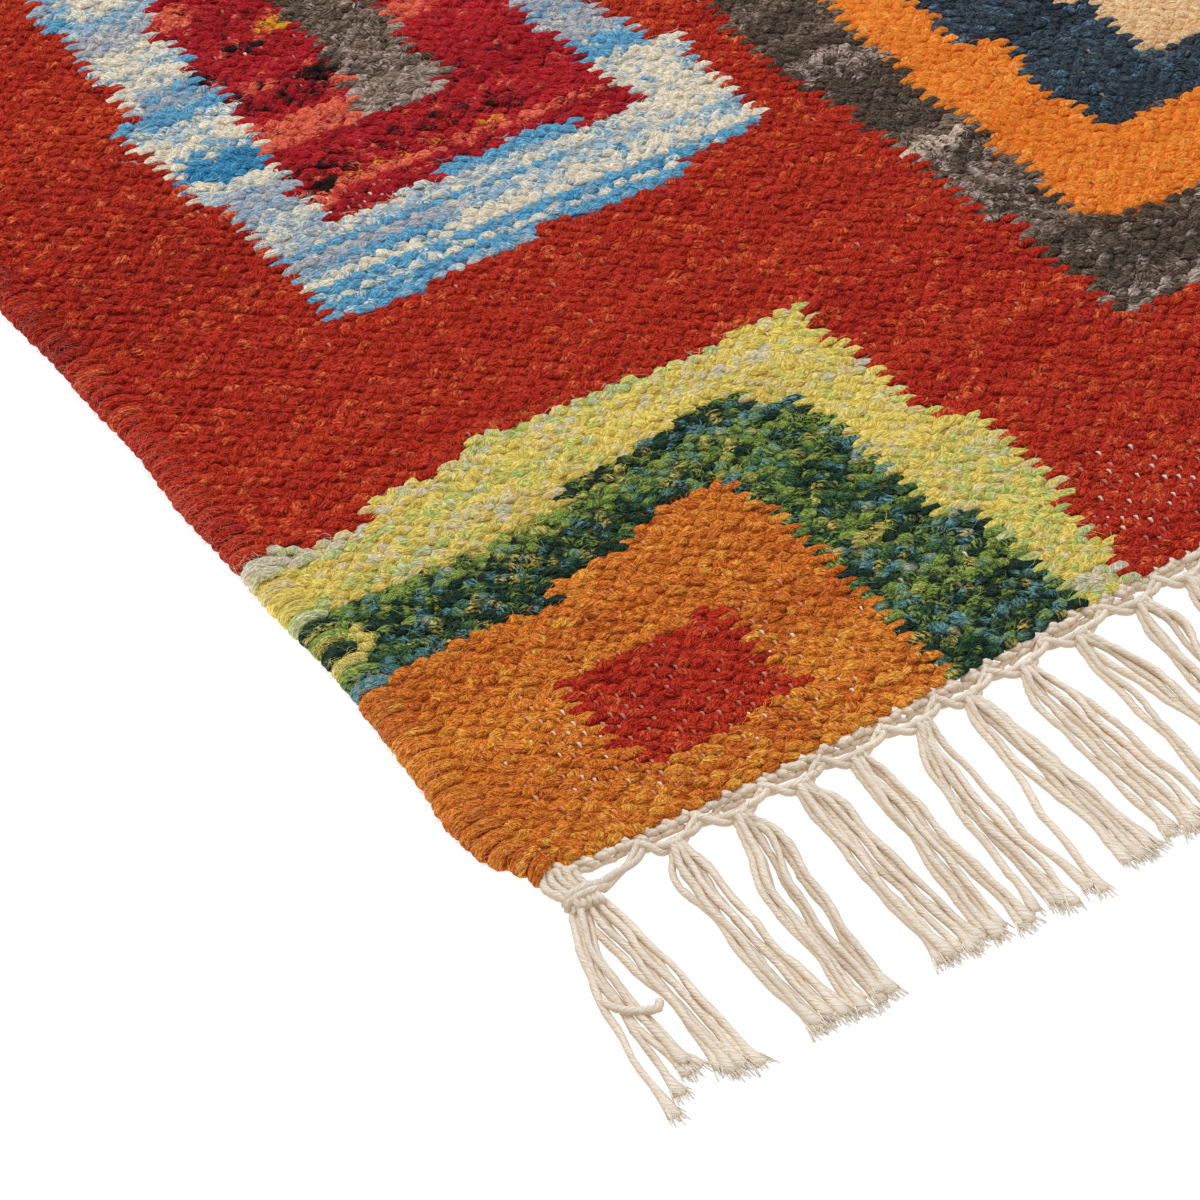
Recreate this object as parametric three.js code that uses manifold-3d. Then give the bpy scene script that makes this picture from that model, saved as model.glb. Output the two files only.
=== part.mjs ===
// Flat-woven wool rug with a knotted cotton fringe at both ends, lying flat.
// Millimetres, +Z up. X runs along the weft, Y along the warp, Z is the thickness.
// The origin is the middle of the whole rug, on the plane that it lies on.
import * as THREE from "three";
import { mergeVertices } from "three/addons/utils/BufferGeometryUtils.js";
import Module from "manifold-3d";

const wasm = await Module();
wasm.setup();

// Woven body
const WIDTH = 600;            // selvedge to selvedge
const LENGTH = 900;           // first pick to last pick
const THICKNESS = 5;          // wool weft on both sides of a cotton warp
const OUTLINE_STEP = 18;      // spacing of the points along an edge
const CORNER_STEPS = [2, 5, 9, 14, 20, 27];   // closer points where an edge runs into a corner

// Edges as uneven as hand weaving leaves them
const BULGE = { out: 2.4, at: 22, spread: 16 };       // the selvedge swells just before its corner
const DRAW_IN = { in: 3.6, spread: 7 };               // and is drawn in at the corner itself
const SELVEDGE_WAVES = [{ high: 0.55, long: 95 }, { high: 0.35, long: 41 }];
const END_WAVE = { high: 1.5, long: 200, low_at: 70 };
const END_RISE = { high: 2.2, spread: 10 };

// Rounded edge of the cloth, from the underside to the top face
const EDGE_PROFILE = [
  { z: 0, inset: 1.6 },
  { z: 0.9, inset: 0.45 },
  { z: THICKNESS / 2, inset: 0 },
  { z: THICKNESS - 0.9, inset: 0.45 },
  { z: THICKNESS, inset: 1.6 },
];

// Cotton fringe
const GAP = 0.3;              // between the last pick and the cotton band
const BAND_WIDTH = 3.1;
const BAND_HEIGHT = 3;
const WEB_DEPTH = 4.6;        // how far the band reaches out where a tassel is tied
const END_MARGIN = 4;         // the band stops this far inside each selvedge
const TASSELS = 38;           // between the two corner tassels
const FIRST_TASSEL = 30.8;    // from the selvedge to the first tassel between the corners
const CORNER_TASSEL = 9;      // from the selvedge to the corner tassel
const TIE_WANDER = [0, 0.3, 0.4, -1.2, 0.4, -1.5, -1.4, -1.2, 0.8];   // hand spacing, repeated
const KNOT = { from: 3.4, length: 5.4, width: 4.6, height: 3.8, sides: 6 };
const CORNER_KNOT = { from: 3.6, length: 10.4, width: 6.4, height: 4.4, sides: 6 };
const LOCK = { width: 1.6, height: 1.5, tip: 0.8 };
const FRINGE_REACH = 55.5;    // from the last pick to the cut ends
const REACH_WANDER = 1.5;

// Locks of a tassel: where each starts and ends beside the knot's axis
const TASSEL_LOCKS = [
  { start: -1.75, end: -2.7 },
  { start: 0, end: 0 },
  { start: 1.75, end: 2.7 },
];
const CORNER_LOCKS = [
  { start: -2.4, end: -11 },
  { start: -1.2, end: -5.6 },
  { start: 0, end: 0 },
  { start: 1.2, end: 5.2 },
  { start: 2.4, end: 9.6 },
];

const WOOL = new THREE.MeshStandardMaterial({ color: 0xa8321f, roughness: 0.95, metalness: 0 });
const COTTON = new THREE.MeshStandardMaterial({ color: 0xe4dccb, roughness: 0.9, metalness: 0 });

// Hump of height 1 at distance 0
function hump(distance, spread) {
  return Math.exp(-((distance / spread) ** 2));
}

// How far the selvedge stands out of its straight line, at a distance from its near end
function selvedgeOut(along) {
  let out = 0;
  for (const fromCorner of [along, LENGTH - along]) {
    out += BULGE.out * hump(fromCorner - BULGE.at, BULGE.spread);
    out -= DRAW_IN.in * hump(fromCorner, DRAW_IN.spread);
  }
  for (const wave of SELVEDGE_WAVES) {
    out += wave.high * Math.sin((2 * Math.PI * along) / wave.long);
  }
  return out;
}

// How far the end of the cloth is drawn in, at a distance from its left corner
function endIn(across) {
  const turn = (2 * Math.PI * (across - END_WAVE.low_at)) / END_WAVE.long;
  const rise = hump(across, END_RISE.spread) + hump(WIDTH - across, END_RISE.spread);
  return END_WAVE.high * (1 - Math.cos(turn)) + END_RISE.high * rise;
}

// Distances along an edge, closer together near its two corners
function edgeStations(length) {
  const last = CORNER_STEPS[CORNER_STEPS.length - 1];
  const count = Math.round((length - 2 * last) / OUTLINE_STEP);
  const middle = [];
  for (let i = 1; i < count; i += 1) {
    middle.push(last + ((length - 2 * last) * i) / count);
  }
  const far = CORNER_STEPS.map((step) => length - step).reverse();
  return [...CORNER_STEPS, ...middle, ...far];
}

// Outline of the cloth, counterclockwise. The second half is the first turned half round.
function clothOutline() {
  const half = [];
  for (const across of edgeStations(WIDTH)) {
    half.push(new THREE.Vector2(across - WIDTH / 2, endIn(across) - LENGTH / 2));
  }
  for (const along of edgeStations(LENGTH)) {
    half.push(new THREE.Vector2(WIDTH / 2 + selvedgeOut(LENGTH - along), along - LENGTH / 2));
  }
  return [...half, ...half.map((point) => point.clone().negate())];
}

// The outline drawn in along its own normals
function insetOutline(outline, inset) {
  return outline.map((point, i) => {
    const before = outline[(i + outline.length - 1) % outline.length];
    const after = outline[(i + 1) % outline.length];
    const along = after.clone().sub(before).normalize();
    return new THREE.Vector2(point.x - along.y * inset, point.y + along.x * inset);
  });
}

function geometryOf(points, triangles) {
  const geometry = new THREE.BufferGeometry();
  const flat = points.flatMap((point) => [point.x, point.y, point.z]);
  geometry.setAttribute("position", new THREE.Float32BufferAttribute(flat, 3));
  geometry.setIndex(triangles);
  return geometry;
}

// Closed body through rings with the same number of points, first ring to last
function loft(rings, lowCap, highCap) {
  const count = rings[0].length;
  const triangles = [];
  for (let r = 0; r + 1 < rings.length; r += 1) {
    for (let i = 0; i < count; i += 1) {
      const a = r * count + i;
      const b = r * count + ((i + 1) % count);
      triangles.push(a, b, b + count, a, b + count, a + count);
    }
  }
  const top = (rings.length - 1) * count;
  for (const [a, b, c] of lowCap) {
    triangles.push(a, c, b);
  }
  for (const [a, b, c] of highCap) {
    triangles.push(top + a, top + b, top + c);
  }
  return geometryOf(rings.flat(), triangles);
}

function wovenBody() {
  const outline = clothOutline();
  const rings = EDGE_PROFILE.map(({ z, inset }) =>
    insetOutline(outline, inset).map((point) => new THREE.Vector3(point.x, point.y, z)),
  );
  const cap = THREE.ShapeUtils.triangulateShape(outline, []);
  return loft(rings, cap, cap);
}

// Band of twined cotton beside the last pick, reaching out to each tassel
function bandGeometry(ties) {
  const knots = ties.map((tie) => ({ across: tie.across, depth: WEB_DEPTH }));
  const between = [];
  for (let i = 0; i + 1 < ties.length; i += 1) {
    between.push({ across: (ties[i].across + ties[i + 1].across) / 2, depth: BAND_WIDTH });
  }
  const ends = [END_MARGIN, WIDTH - END_MARGIN].map((across) => ({ across, depth: BAND_WIDTH }));
  const stations = [...knots, ...between, ...ends].sort((a, b) => a.across - b.across);
  const inner = stations.map(({ across }) => bandPoint(across, GAP));
  const outer = stations.map(({ across, depth }) => bandPoint(across, GAP + depth));
  const shape = new THREE.Shape([...outer, ...inner.reverse()]);
  return new THREE.ExtrudeGeometry(shape, { depth: BAND_HEIGHT, bevelEnabled: false });
}

// A point at a distance outside the end of the cloth
function bandPoint(across, outside) {
  return new THREE.Vector2(across - WIDTH / 2, endIn(across) - LENGTH / 2 - outside);
}

// Ring of a lying strand: flat on the floor, square or round to the top
function lyingRing(x, y, width, height, sides) {
  const ring = [];
  for (let i = 0; i < sides; i += 1) {
    const turn = (2 * Math.PI * (i + 0.5)) / sides - Math.PI / 2;
    const grow = 1 / Math.cos(Math.PI / sides);
    const side = (Math.cos(turn) * grow * width) / 2;
    const up = ((Math.sin(turn) * grow + 1) * height) / 2;
    ring.push(new THREE.Vector3(x + side, y, up));
  }
  return ring;
}

function fan(count) {
  const triangles = [];
  for (let i = 1; i + 1 < count; i += 1) {
    triangles.push([0, i, i + 1]);
  }
  return triangles;
}

// A tied knot: narrow where the warps go in and out, full between
function knotGeometry(tie) {
  const { from, length, width, height, sides } = tie.knot;
  const stations = [
    { share: 0, size: 0.72 },
    { share: 0.5, size: 1.04 },
    { share: 1, size: 0.8 },
  ];
  const rings = stations.map(({ share, size }) => {
    const point = bandPoint(tie.across, from + share * length);
    return lyingRing(point.x, point.y, width * size, height * size, sides);
  });
  return loft(rings, fan(sides), fan(sides));
}

// A lock of cords from inside the knot to its cut end, lying level
function lockGeometry(tie, lock, index) {
  const wander = Math.sin(7.3 * tie.index + 2.1 * index);
  const reach = FRINGE_REACH + REACH_WANDER * wander;
  const root = tie.knot.from + tie.knot.length * 0.6;
  const stations = [
    { share: 0, size: 1 },
    { share: 0.5, size: 1 },
    { share: 1, size: LOCK.tip },
  ];
  const rings = stations.map(({ share, size }) => {
    const bend = Math.sin(Math.PI * share) * tie.bend;
    const side = lock.start + (lock.end - lock.start) * share + tie.lean * share + bend;
    const x = tie.across - WIDTH / 2 + side;
    const start = bandPoint(tie.across, root).y;
    const y = start + (-LENGTH / 2 - reach - start) * share;
    return lyingRing(x, y, LOCK.width * size, LOCK.height * size, 4);
  });
  return loft(rings, fan(4), fan(4));
}

// Where each tassel is tied, with its knot, its locks and the way that it leans
function tassels() {
  const pitch = (WIDTH - 2 * FIRST_TASSEL) / (TASSELS - 1);
  const ties = [{ across: CORNER_TASSEL, knot: CORNER_KNOT, locks: CORNER_LOCKS }];
  for (let i = 0; i < TASSELS; i += 1) {
    const across = FIRST_TASSEL + i * pitch + TIE_WANDER[i % TIE_WANDER.length];
    ties.push({ across, knot: KNOT, locks: TASSEL_LOCKS });
  }
  ties.push({ across: WIDTH - CORNER_TASSEL, knot: CORNER_KNOT, locks: CORNER_LOCKS });
  ties.forEach((tie, index) => {
    tie.index = index;
    tie.lean = 1.4 * Math.sin(2.7 * index);
    tie.bend = 0.7 * Math.sin(1.9 * index + 1);
  });
  return ties;
}

function solidOf(geometry) {
  const bare = geometry.clone();
  bare.deleteAttribute("normal");
  bare.deleteAttribute("uv");
  const merged = mergeVertices(bare);
  return new wasm.Manifold(
    new wasm.Mesh({
      numProp: 3,
      vertProperties: new Float32Array(merged.attributes.position.array),
      triVerts: new Uint32Array(merged.index.array),
    }),
  );
}

function geometryFrom(solid) {
  const mesh = solid.getMesh();
  const geometry = new THREE.BufferGeometry();
  geometry.setAttribute("position", new THREE.BufferAttribute(mesh.vertProperties, 3));
  geometry.setIndex(new THREE.BufferAttribute(mesh.triVerts, 1));
  return geometry;
}

// The fringe of one end: the band, its knots and their locks as one body
function fringe() {
  const ties = tassels();
  let solid = solidOf(bandGeometry(ties));
  for (const tie of ties) {
    solid = solid.add(solidOf(knotGeometry(tie)));
    tie.locks.forEach((lock, index) => {
      solid = solid.add(solidOf(lockGeometry(tie, lock, index)));
    });
  }
  return geometryFrom(solid);
}

function named(name, geometry, material) {
  const mesh = new THREE.Mesh(geometry, material);
  mesh.name = name;
  return mesh;
}

const rug = new THREE.Group();
rug.add(named("woven_body", wovenBody(), WOOL));
const fringeGeometry = fringe();
rug.add(named("fringe_front", fringeGeometry, COTTON));
const back = named("fringe_back", fringeGeometry, COTTON);
back.rotation.z = Math.PI;
rug.add(back);

export default rug;
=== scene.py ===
"""Looks of a flat-woven wool rug with a knotted cotton fringe, lying on a pale floor.

Metres, in the frame of the CAD model: X along the weft, Y along the warp, Z up. The cloth is built the
way it is woven. A chart of named blocks gives the yarn of every warp and pick, and each visible stitch,
selvedge turn, cord and knot is a small closed shape of its own.
"""
import math

import bpy
import numpy as np
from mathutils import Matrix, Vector


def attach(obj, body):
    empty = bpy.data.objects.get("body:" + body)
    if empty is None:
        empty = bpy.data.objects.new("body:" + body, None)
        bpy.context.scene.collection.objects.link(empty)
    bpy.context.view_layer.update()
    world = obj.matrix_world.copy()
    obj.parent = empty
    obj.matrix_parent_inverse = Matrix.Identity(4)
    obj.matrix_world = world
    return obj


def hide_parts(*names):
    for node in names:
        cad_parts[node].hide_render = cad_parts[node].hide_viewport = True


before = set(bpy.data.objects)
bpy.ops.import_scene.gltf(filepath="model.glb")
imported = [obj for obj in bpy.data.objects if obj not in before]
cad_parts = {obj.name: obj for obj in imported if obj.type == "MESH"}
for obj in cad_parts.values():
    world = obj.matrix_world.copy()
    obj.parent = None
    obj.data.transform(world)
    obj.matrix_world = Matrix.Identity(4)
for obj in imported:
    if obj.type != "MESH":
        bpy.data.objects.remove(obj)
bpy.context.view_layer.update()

RANDOM = np.random.default_rng(20)
DYE_SEED = 5
MM = 0.001

# Woven body, the same sizes as the CAD model
WIDTH = 0.600
LENGTH = 0.900
THICKNESS = 0.005
BULGE = {"out": 0.0024, "at": 0.022, "spread": 0.016}
DRAW_IN = {"in": 0.0036, "spread": 0.007}
SELVEDGE_WAVES = ((0.00055, 0.095), (0.00035, 0.041))
END_WAVE = {"high": 0.0015, "long": 0.200, "low_at": 0.070}
END_RISE = {"high": 0.0022, "spread": 0.010}
EDGE_REACH = 0.045          # how far inside the cloth an uneven edge is felt
PICK_BOW = {"high": 0.0005, "across": 0.031, "along": 0.07}   # how the picks bow well inside the cloth

# Weave
WARPS = 260
PICKS = 457
WARP_PITCH = 0.0023
PICK_PITCH = LENGTH / PICKS
FIRST_WARP = (WIDTH - (WARPS - 1) * WARP_PITCH) / 2
FIRST_COUNT = {"warp": 0.93, "pick": 0.5}   # the places of the outermost warp and pick, counted in pitches
# darker is the power that darkens the colours of the cloth's top: painted shade between the stitches
GROUND = {"top": 0.0040, "inset": 0.0012, "pull": 0.0009, "darker": 1.25}   # the cloth below its stitches
GROUND_STEPS = {"warps": 2, "near_picks": 3, "far_picks": 4, "near": 165}   # how finely it is cut

# Stitches, and how much they stray from their even size and place
STITCH = {"length": 0.0050, "width": 0.0030, "thick": 0.0016, "low": 0.0035, "high": 0.0042}
STITCH_YAW = math.radians(-8)
STITCH_STATIONS = np.array([-0.82, -0.38, 0.38, 0.82])      # along a stitch, from -1 to 1
STITCH_ANGLES = np.radians([-25, 40, 90, 140, 205])         # round its section
ARCH_POWER = 0.9
PLUMP_POWER = 2.2
STITCH_STRAY = {"across": 0.00024, "along": 0.00020, "yaw": 0.17, "size": 0.08, "spun": 0.09,
                "high": 0.0002, "bend": 0.0002, "width": 0.08, "skin": 0.00010}
LAY_SPREAD = 0.6            # how much the direction of the fibres differs between stitches
YARN_MM = 400               # a stitch shows some place on this length of yarn, in mm
TIP = 0.6                   # how far a tube's pointed end stands out, in radii
TIP_MM = 0.3                # how far that is along the yarn's pattern of fibres, in mm
# Stitches that turn back at a colour change: how far they reach over the next warp, how much higher and
# narrower they are, how their ends are rounded, and how far these curl towards the near end
TURNED = {"reach": 0.0009, "higher": 0.0003, "narrower": 0.9, "blunt": (0.8, 0.2),
          "curl_right": 0.0005, "curl_left": 0.0001}
# Stitches with the fewest faces: their faces, how much of the thickness their ridge stands up, and how much
# lighter their colours are painted: painted light that makes up for the darker shading of their few faces,
# the more so the coarser the yarn
FEW_FACES = ((0, 1, 3), (2, 3, 1), (0, 2, 1), (0, 3, 2))
RIDGE = 0.45
FEW_FACE_LIGHT = {"all": 1.06, "coarse": 0.36}

# Turns of weft over the selvedge: distance inside the edge, height and radius, in mm
TURN_CONTROLS = (
    (8.6, 3.1, 0.5), (6.9, 4.1, 0.85), (4.6, 4.6, 0.95), (2.4, 4.4, 1.0), (1.0, 3.3, 1.05), (0.9, 1.9, 1.05),
    (2.0, 1.05, 1.0), (4.2, 0.8, 0.6),
)
SELVEDGE_WARPS = 3          # warps that a turn of weft passes over
TURN_APART = 0.00062        # from the middle of a turn to each of its two strands
TURN_LEAN = {"high": 0.0065, "spread": 0.009, "tug": 0.0006}   # how their inner ends lean from the corner
TURN_STRAY = {"inside": 0.0004, "inner_end": 0.0008, "along": 0.00015, "path": 0.00016, "high": 0.00014,
              "radius": 0.09, "skin": 0.05}
TURN_SECTION = (1.12, 0.95)   # half the width and half the height of a strand, in radii
SEEN_TURN, OTHER_TURN = (15, 8), (8, 5)        # stations along a strand and sides round it
TURN_SHEEN = 0.95               # painted sheen, the power that pales the colours of the turns

# Cotton that shows between the stitches: where the weave is open, as its middle warp and pick, its reach
# across and along, and the share of gaps that show cotton
OPEN_WEAVE = (
    (12, 11, 9, 9, 0.45), (28, 10, 23, 11, 0.55), (73, 9, 10, 9, 0.75), (37, 103, 5, 2.2, 0.9),
    (42, 138, 9, 10, 0.2),
)
# Specks: the share of gaps that show one elsewhere, their height, stray, half length, arch and radii, and the
# share of them that are clear cotton where the weave is wide open
SPECK = {"elsewhere": 0.015, "high": 0.0043, "stray": 0.0002, "half": 0.0008, "arch": 0.0002,
         "thin": 0.00026, "thick": 0.00046, "clear": 0.6}
CLEAR_VEIL, WOOLLY_VEIL = (0.0, 0.3), (0.72, 0.95)     # the share of the wool's colour that covers a speck

# Loose wool fibres inside the photograph
HAIRS = 13500
HAIR_WIDTH = 0.00007
HAIR_TAPER = (0.4, 1.0, 1.0, 0.4)
HAIR_FACES = ((0, 1, 3, 2), (2, 3, 5, 4), (4, 5, 7, 6))
HAIR_LENGTH = (0.0015, 0.006)
HAIR_HEIGHT, EDGE_HAIR_HEIGHT = (0.0048, 0.0053), (0.001, 0.0045)
EDGE_HAIRS, SELVEDGE_HAIRS = 0.035, 0.10     # shares of hairs that stand out of the edge, and of all at it
SELVEDGE_SPREAD = 0.007
# How much their headings and curls spread and how far their middles rise; how far inside the edge the middles
# of those that stand out of it lie, and how long these are as a share of the others
HAIR = {"heading": 0.8, "curl": 1.1, "rise": 0.0008, "edge_inset": 0.0004, "edge_shorter": 0.8}
HAIR_PALE = {"edge": 0.6, "selvedge": 0.3}   # how far a hair takes the colour of the edge's hairs

# Cotton fringe, the same sizes as the CAD model
TASSELS = 38
FIRST_TASSEL = 0.0308
CORNER_TASSEL = 0.009
TIE_WANDER = (0, 0.0003, 0.0004, -0.0012, 0.0004, -0.0015, -0.0014, -0.0012, 0.0008)
FRINGE_REACH = 0.0555
FINE_FRINGE = 0.19          # the length of the near fringe with many faces, which the photograph shows
CORD_RADIUS = 0.00077
CORD_FLARE = 0.9            # how much a cord widens into a brush at its cut end
FLARE_SPREAD = 0.0034
CORD_SKIN = 0.09            # how uneven a cord is
CORD_SLANT = 0.8            # how steeply the plies of a cord run round it
WOOL_SLANT = -0.25          # and the fibres of the wool round theirs
PLIES = 5
PLY_SPACING = 2 * math.pi * CORD_RADIUS / PLIES * 1000
CORD_MM = 300               # a cord starts at some place on this length of yarn, in mm
CORD_TINT = 0.04            # how much lighter or darker a cord is than the others
SWAY = {"high": 0.00022, "full_from": 0.01}    # how much a cord sways, and how far from its start
ROPE = {"apart": 0.00066, "radius": 0.00080, "start": 0.4}   # two cords twisted about each other
# Stations along the cords of a tassel and sides round them: in the photographed length, and elsewhere
FINE_CUT, PLAIN_CUT = (40, 8), (10, 4)
# Beads of the band: middle along the edge from an odd warp, outwards and height; half length, slant, radius
BAND_BEADS = (
    (0.0, 0.05, 3.3, 1.25, -35, 0.9), (-1.1, 0.75, 3.05, 1.5, -25, 0.9), (1.2, 0.95, 3.0, 1.5, -15, 0.92),
    (0.1, 1.6, 2.0, 1.9, -8, 0.8), (2.4, 1.5, 1.9, 1.6, 5, 0.75),
)
BEAD_STATIONS = np.array([-0.85, -0.45, 0.0, 0.45, 0.85])
BEAD_STRAY = {"across": 0.0003, "out": 0.0002, "slant": 0.22, "length": 0.1, "high": 0.00015,
              "radius": 0.09}
# How near to the corner their ends lie, how much these sag and how much thinner they are
BEAD_ENDS = {"inset": 0.003, "sag": 0.0005, "thinner": 0.7}
# Each tassel's bunches, from left to right as they lie: the number of cords, how far the bunch lies to the
# side of its tie at four distances out, its width at the first and the last of them, and for some how much
# further than the others it reaches, in mm
BUNCH_OUTS = (13, 26, 40, 56)
TASSEL_BUNCHES = (
    ((4, (-2.3, -2.7, -2.9, -2.3), 4.2, 5.0), (3, (2.1, 1.0, 1.1, 2.0), 2.4, 4.0)),
    ((3, (-2.4, -6.3, -7.8, -8.6), 2.6, 3.6), (2, (0.9, -2.7, -4.4, -4.4), 2.0, 2.0),
     (2, (3.4, 1.4, -1.4, -2.8), 1.4, 2.0)),
    ((3, (-1.1, -1.9, -3.1, -3.1), 2.2, 2.6), (4, (2.1, 1.6, 1.8, 2.6), 3.0, 6.0)),
    ((4, (-1.0, -1.9, -3.8, -4.6), 3.0, 4.4), (2, (2.8, 1.6, 1.5, 1.7), 2.0, 2.4)),
    ((1, (-4.3, -6.9, -9.3, -11.3), 0, 0), (4, (-1.9, -4.3, -5.3, -5.8), 3.4, 4.6),
     (1, (1.7, 1.1, 0.3, 0.5), 0, 0)),
    ((1, (-2.7, -4.6, -7.2, -9.9), 0, 0), (1, (-1.6, -2.2, -1.7, -1.0), 0, 0),
     (5, (1.8, 2.1, 2.4, 2.6), 3.6, 7.0)),
    ((2, (-2.8, -3.3, -3.7, -4.1), 2.4, 2.8), (4, (1.2, 1.1, 1.2, 1.2), 3.0, 5.0),
     (1, (4.6, 5.6, 6.1, 6.2), 0, 0)),
    ((2, (-1.5, -2.0, -3.1, -5.0), 1.6, 3.0), (1, (0.9, 4.1, 4.8, 4.9), 0, 0),
     (3, (4.7, 6.2, 6.2, 5.9), 1.4, 4.0)),
    ((3, (-1.8, -3.6, -4.3, -4.8), 2.6, 3.6), (3, (4.0, 0.8, -0.6, -1.2), 2.2, 3.6)),
)
CORNER_BUNCHES = (
    (1, (-4.0, -8.9, -12.2, -14.6), 0, 0, 4.0), (1, (-3.4, -7.8, -9.8, -10.8), 0, 0, 1.0),
    (3, (-2.4, -6.2, -7.2, -6.0), 1.8, 3.6, -1.5), (6, (1.5, 1.7, 1.7, 1.5), 6.5, 7.5, 1.0),
)
# How the cords of a tassel lie: stray to the side and at their cut ends; height on the floor, in radii; the
# share of its lift that a lifted cord keeps at each of the four distances; under the tie, how far they go in
# and out of it, their heights there, how much higher every second one lies and how they draw together
LYING = {"stray": 0.0003, "cut_stray": 0.0010, "rest": 1.1, "lifted": (1, 1, 1, 0.6), "under": 0.0012,
         "tied_high": (0.0024, 0.0022), "layers": (-0.0002, 0.0009), "gathered": 0.9}
# Where a tassel's cords leave their tie: how far out, and how wide they lie there
TASSEL_ROOT, CORNER_ROOT = (0.0056, 0.0036), (0.0094, 0.0062)
# Cords of the corner tassel: to the side of its tie, outwards and height, in mm
CORNER_WRAP = (
    ((-3.5, 9.6, 1.0), (-3.0, 9.3, 3.0), (0.2, 9.0, 4.2), (3.2, 8.5, 3.6), (4.8, 7.6, 2.6)),
    ((-3.3, 8.4, 1.2), (-2.6, 8.1, 3.2), (0.4, 8.0, 4.3), (3.0, 7.6, 3.7), (4.6, 6.8, 2.8)),
)
CORNER_CROSSING = (
    (-10.8, 32.5, 1.5), (-9.8, 36.2, 2.2), (-6.8, 39.2, 2.6), (-3.8, 39.7, 2.4), (-2.0, 37.8, 1.8),
)
WISPS = 16                  # at each cut end
WISP = {"back": 0.0018, "beside": 0.0013, "high": 0.0003, "fan": 0.30, "stray": 0.08, "radius": 0.00019,
        "low": 0.0004, "tint": 0.05}
WISP_LENGTH = (0.0022, 0.0042)
WISP_TAPER = (1.0, 1.0, 0.8)
# Painted light: the wisps' colour is made lighter, as they let light through
WISP_LIGHT = 0.12           # wisps let light through

# Camera of the photograph, light and floor
SENSOR = 36
CAMERA = {"x": -0.5298, "y": -0.8146, "z": 0.4798, "lens": 102.76, "down": 42.95, "turn": 34.05}
LIGHTS = {   # place, diameter and power
    "key": ((-0.5, 0.9, 1.6), 1.2, 20.5),
    "fill": ((1.2, -1.2, 1.4), 1.6, 7.2),
}
FRAME_MARGIN, SELVEDGE_MARGIN = 0.025, 0.05   # shares of the photograph's width that count as seen beyond it
LIT_PLACE = (0, -0.3, 0)
SKY_STRENGTH = 0.62
FLOOR = {"half": 6.0, "grey": 0.12, "glow": 0.94}


def rgb(red, green, blue):
    """A colour as seen on a screen, from 0 to 255, as the linear light that a shader takes."""
    seen = np.array([red, green, blue]) / 255
    return np.where(seen <= 0.04045, seen / 12.92, ((seen + 0.055) / 1.055) ** 2.4)


SEEN_SHADES = {
    "red": (180, 39, 22), "deep_red": (172, 32, 19), "light_red": (188, 49, 25),
    "orange": (222, 96, 50), "dark_red": (140, 22, 16), "brick": (146, 25, 15),
    "yellow": (218, 196, 98), "ochre_yellow": (208, 182, 90), "oat": (198, 188, 164),
    "leaf": (168, 184, 104),
    "pine": (22, 44, 32), "moss": (58, 92, 50), "fern": (126, 148, 62), "teal": (90, 138, 140),
    "rust": (212, 113, 36), "deep_rust": (200, 96, 29), "light_rust": (222, 129, 42),
    "honey": (234, 166, 58), "dark_rust": (172, 76, 24), "gold": (230, 150, 54),
    "cream": (220, 209, 188), "deep_blue": (50, 124, 166), "mid_blue": (92, 154, 188),
    "pale_blue": (150, 176, 192), "mist": (162, 165, 173),
    "garnet": (168, 28, 35), "wine": (150, 20, 29), "claret": (112, 17, 24),
    "coral": (214, 96, 72), "soot": (30, 14, 15), "marigold": (214, 142, 38),
    "slate": (121, 101, 88), "light_slate": (132, 113, 100), "ash": (176, 156, 146),
    "coal": (76, 62, 51), "dark_coal": (52, 42, 34), "light_coal": (124, 106, 94),
    "shell": (206, 184, 164),
    "amber": (216, 122, 40), "deep_amber": (208, 112, 35), "light_amber": (222, 132, 48),
    "pale_amber": (230, 152, 68), "dark_amber": (188, 94, 30),
    "navy": (46, 58, 70), "light_navy": (56, 68, 80), "deep_navy": (38, 48, 58),
    "denim": (86, 116, 140), "ink": (34, 40, 48),
    "sand": (220, 182, 136), "deep_sand": (212, 172, 124), "pale_sand": (230, 198, 156),
    "tan": (196, 152, 106),
}
SHADES = {shade: rgb(*seen) for shade, seen in SEEN_SHADES.items()}
COTTON = np.append(rgb(236, 229, 218), 1.0)
EDGE_HAIR = rgb(172, 158, 144)
# Loose hairs are a lighter copy of their yarn's colour: a painted highlight, as thin fibres catch the light
HAIR_LIGHT, HAIR_HIGHLIGHT = np.array([1.4, 1.4, 1.4, 1.0]), np.array([0.04, 0.035, 0.02, 0.0])

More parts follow.
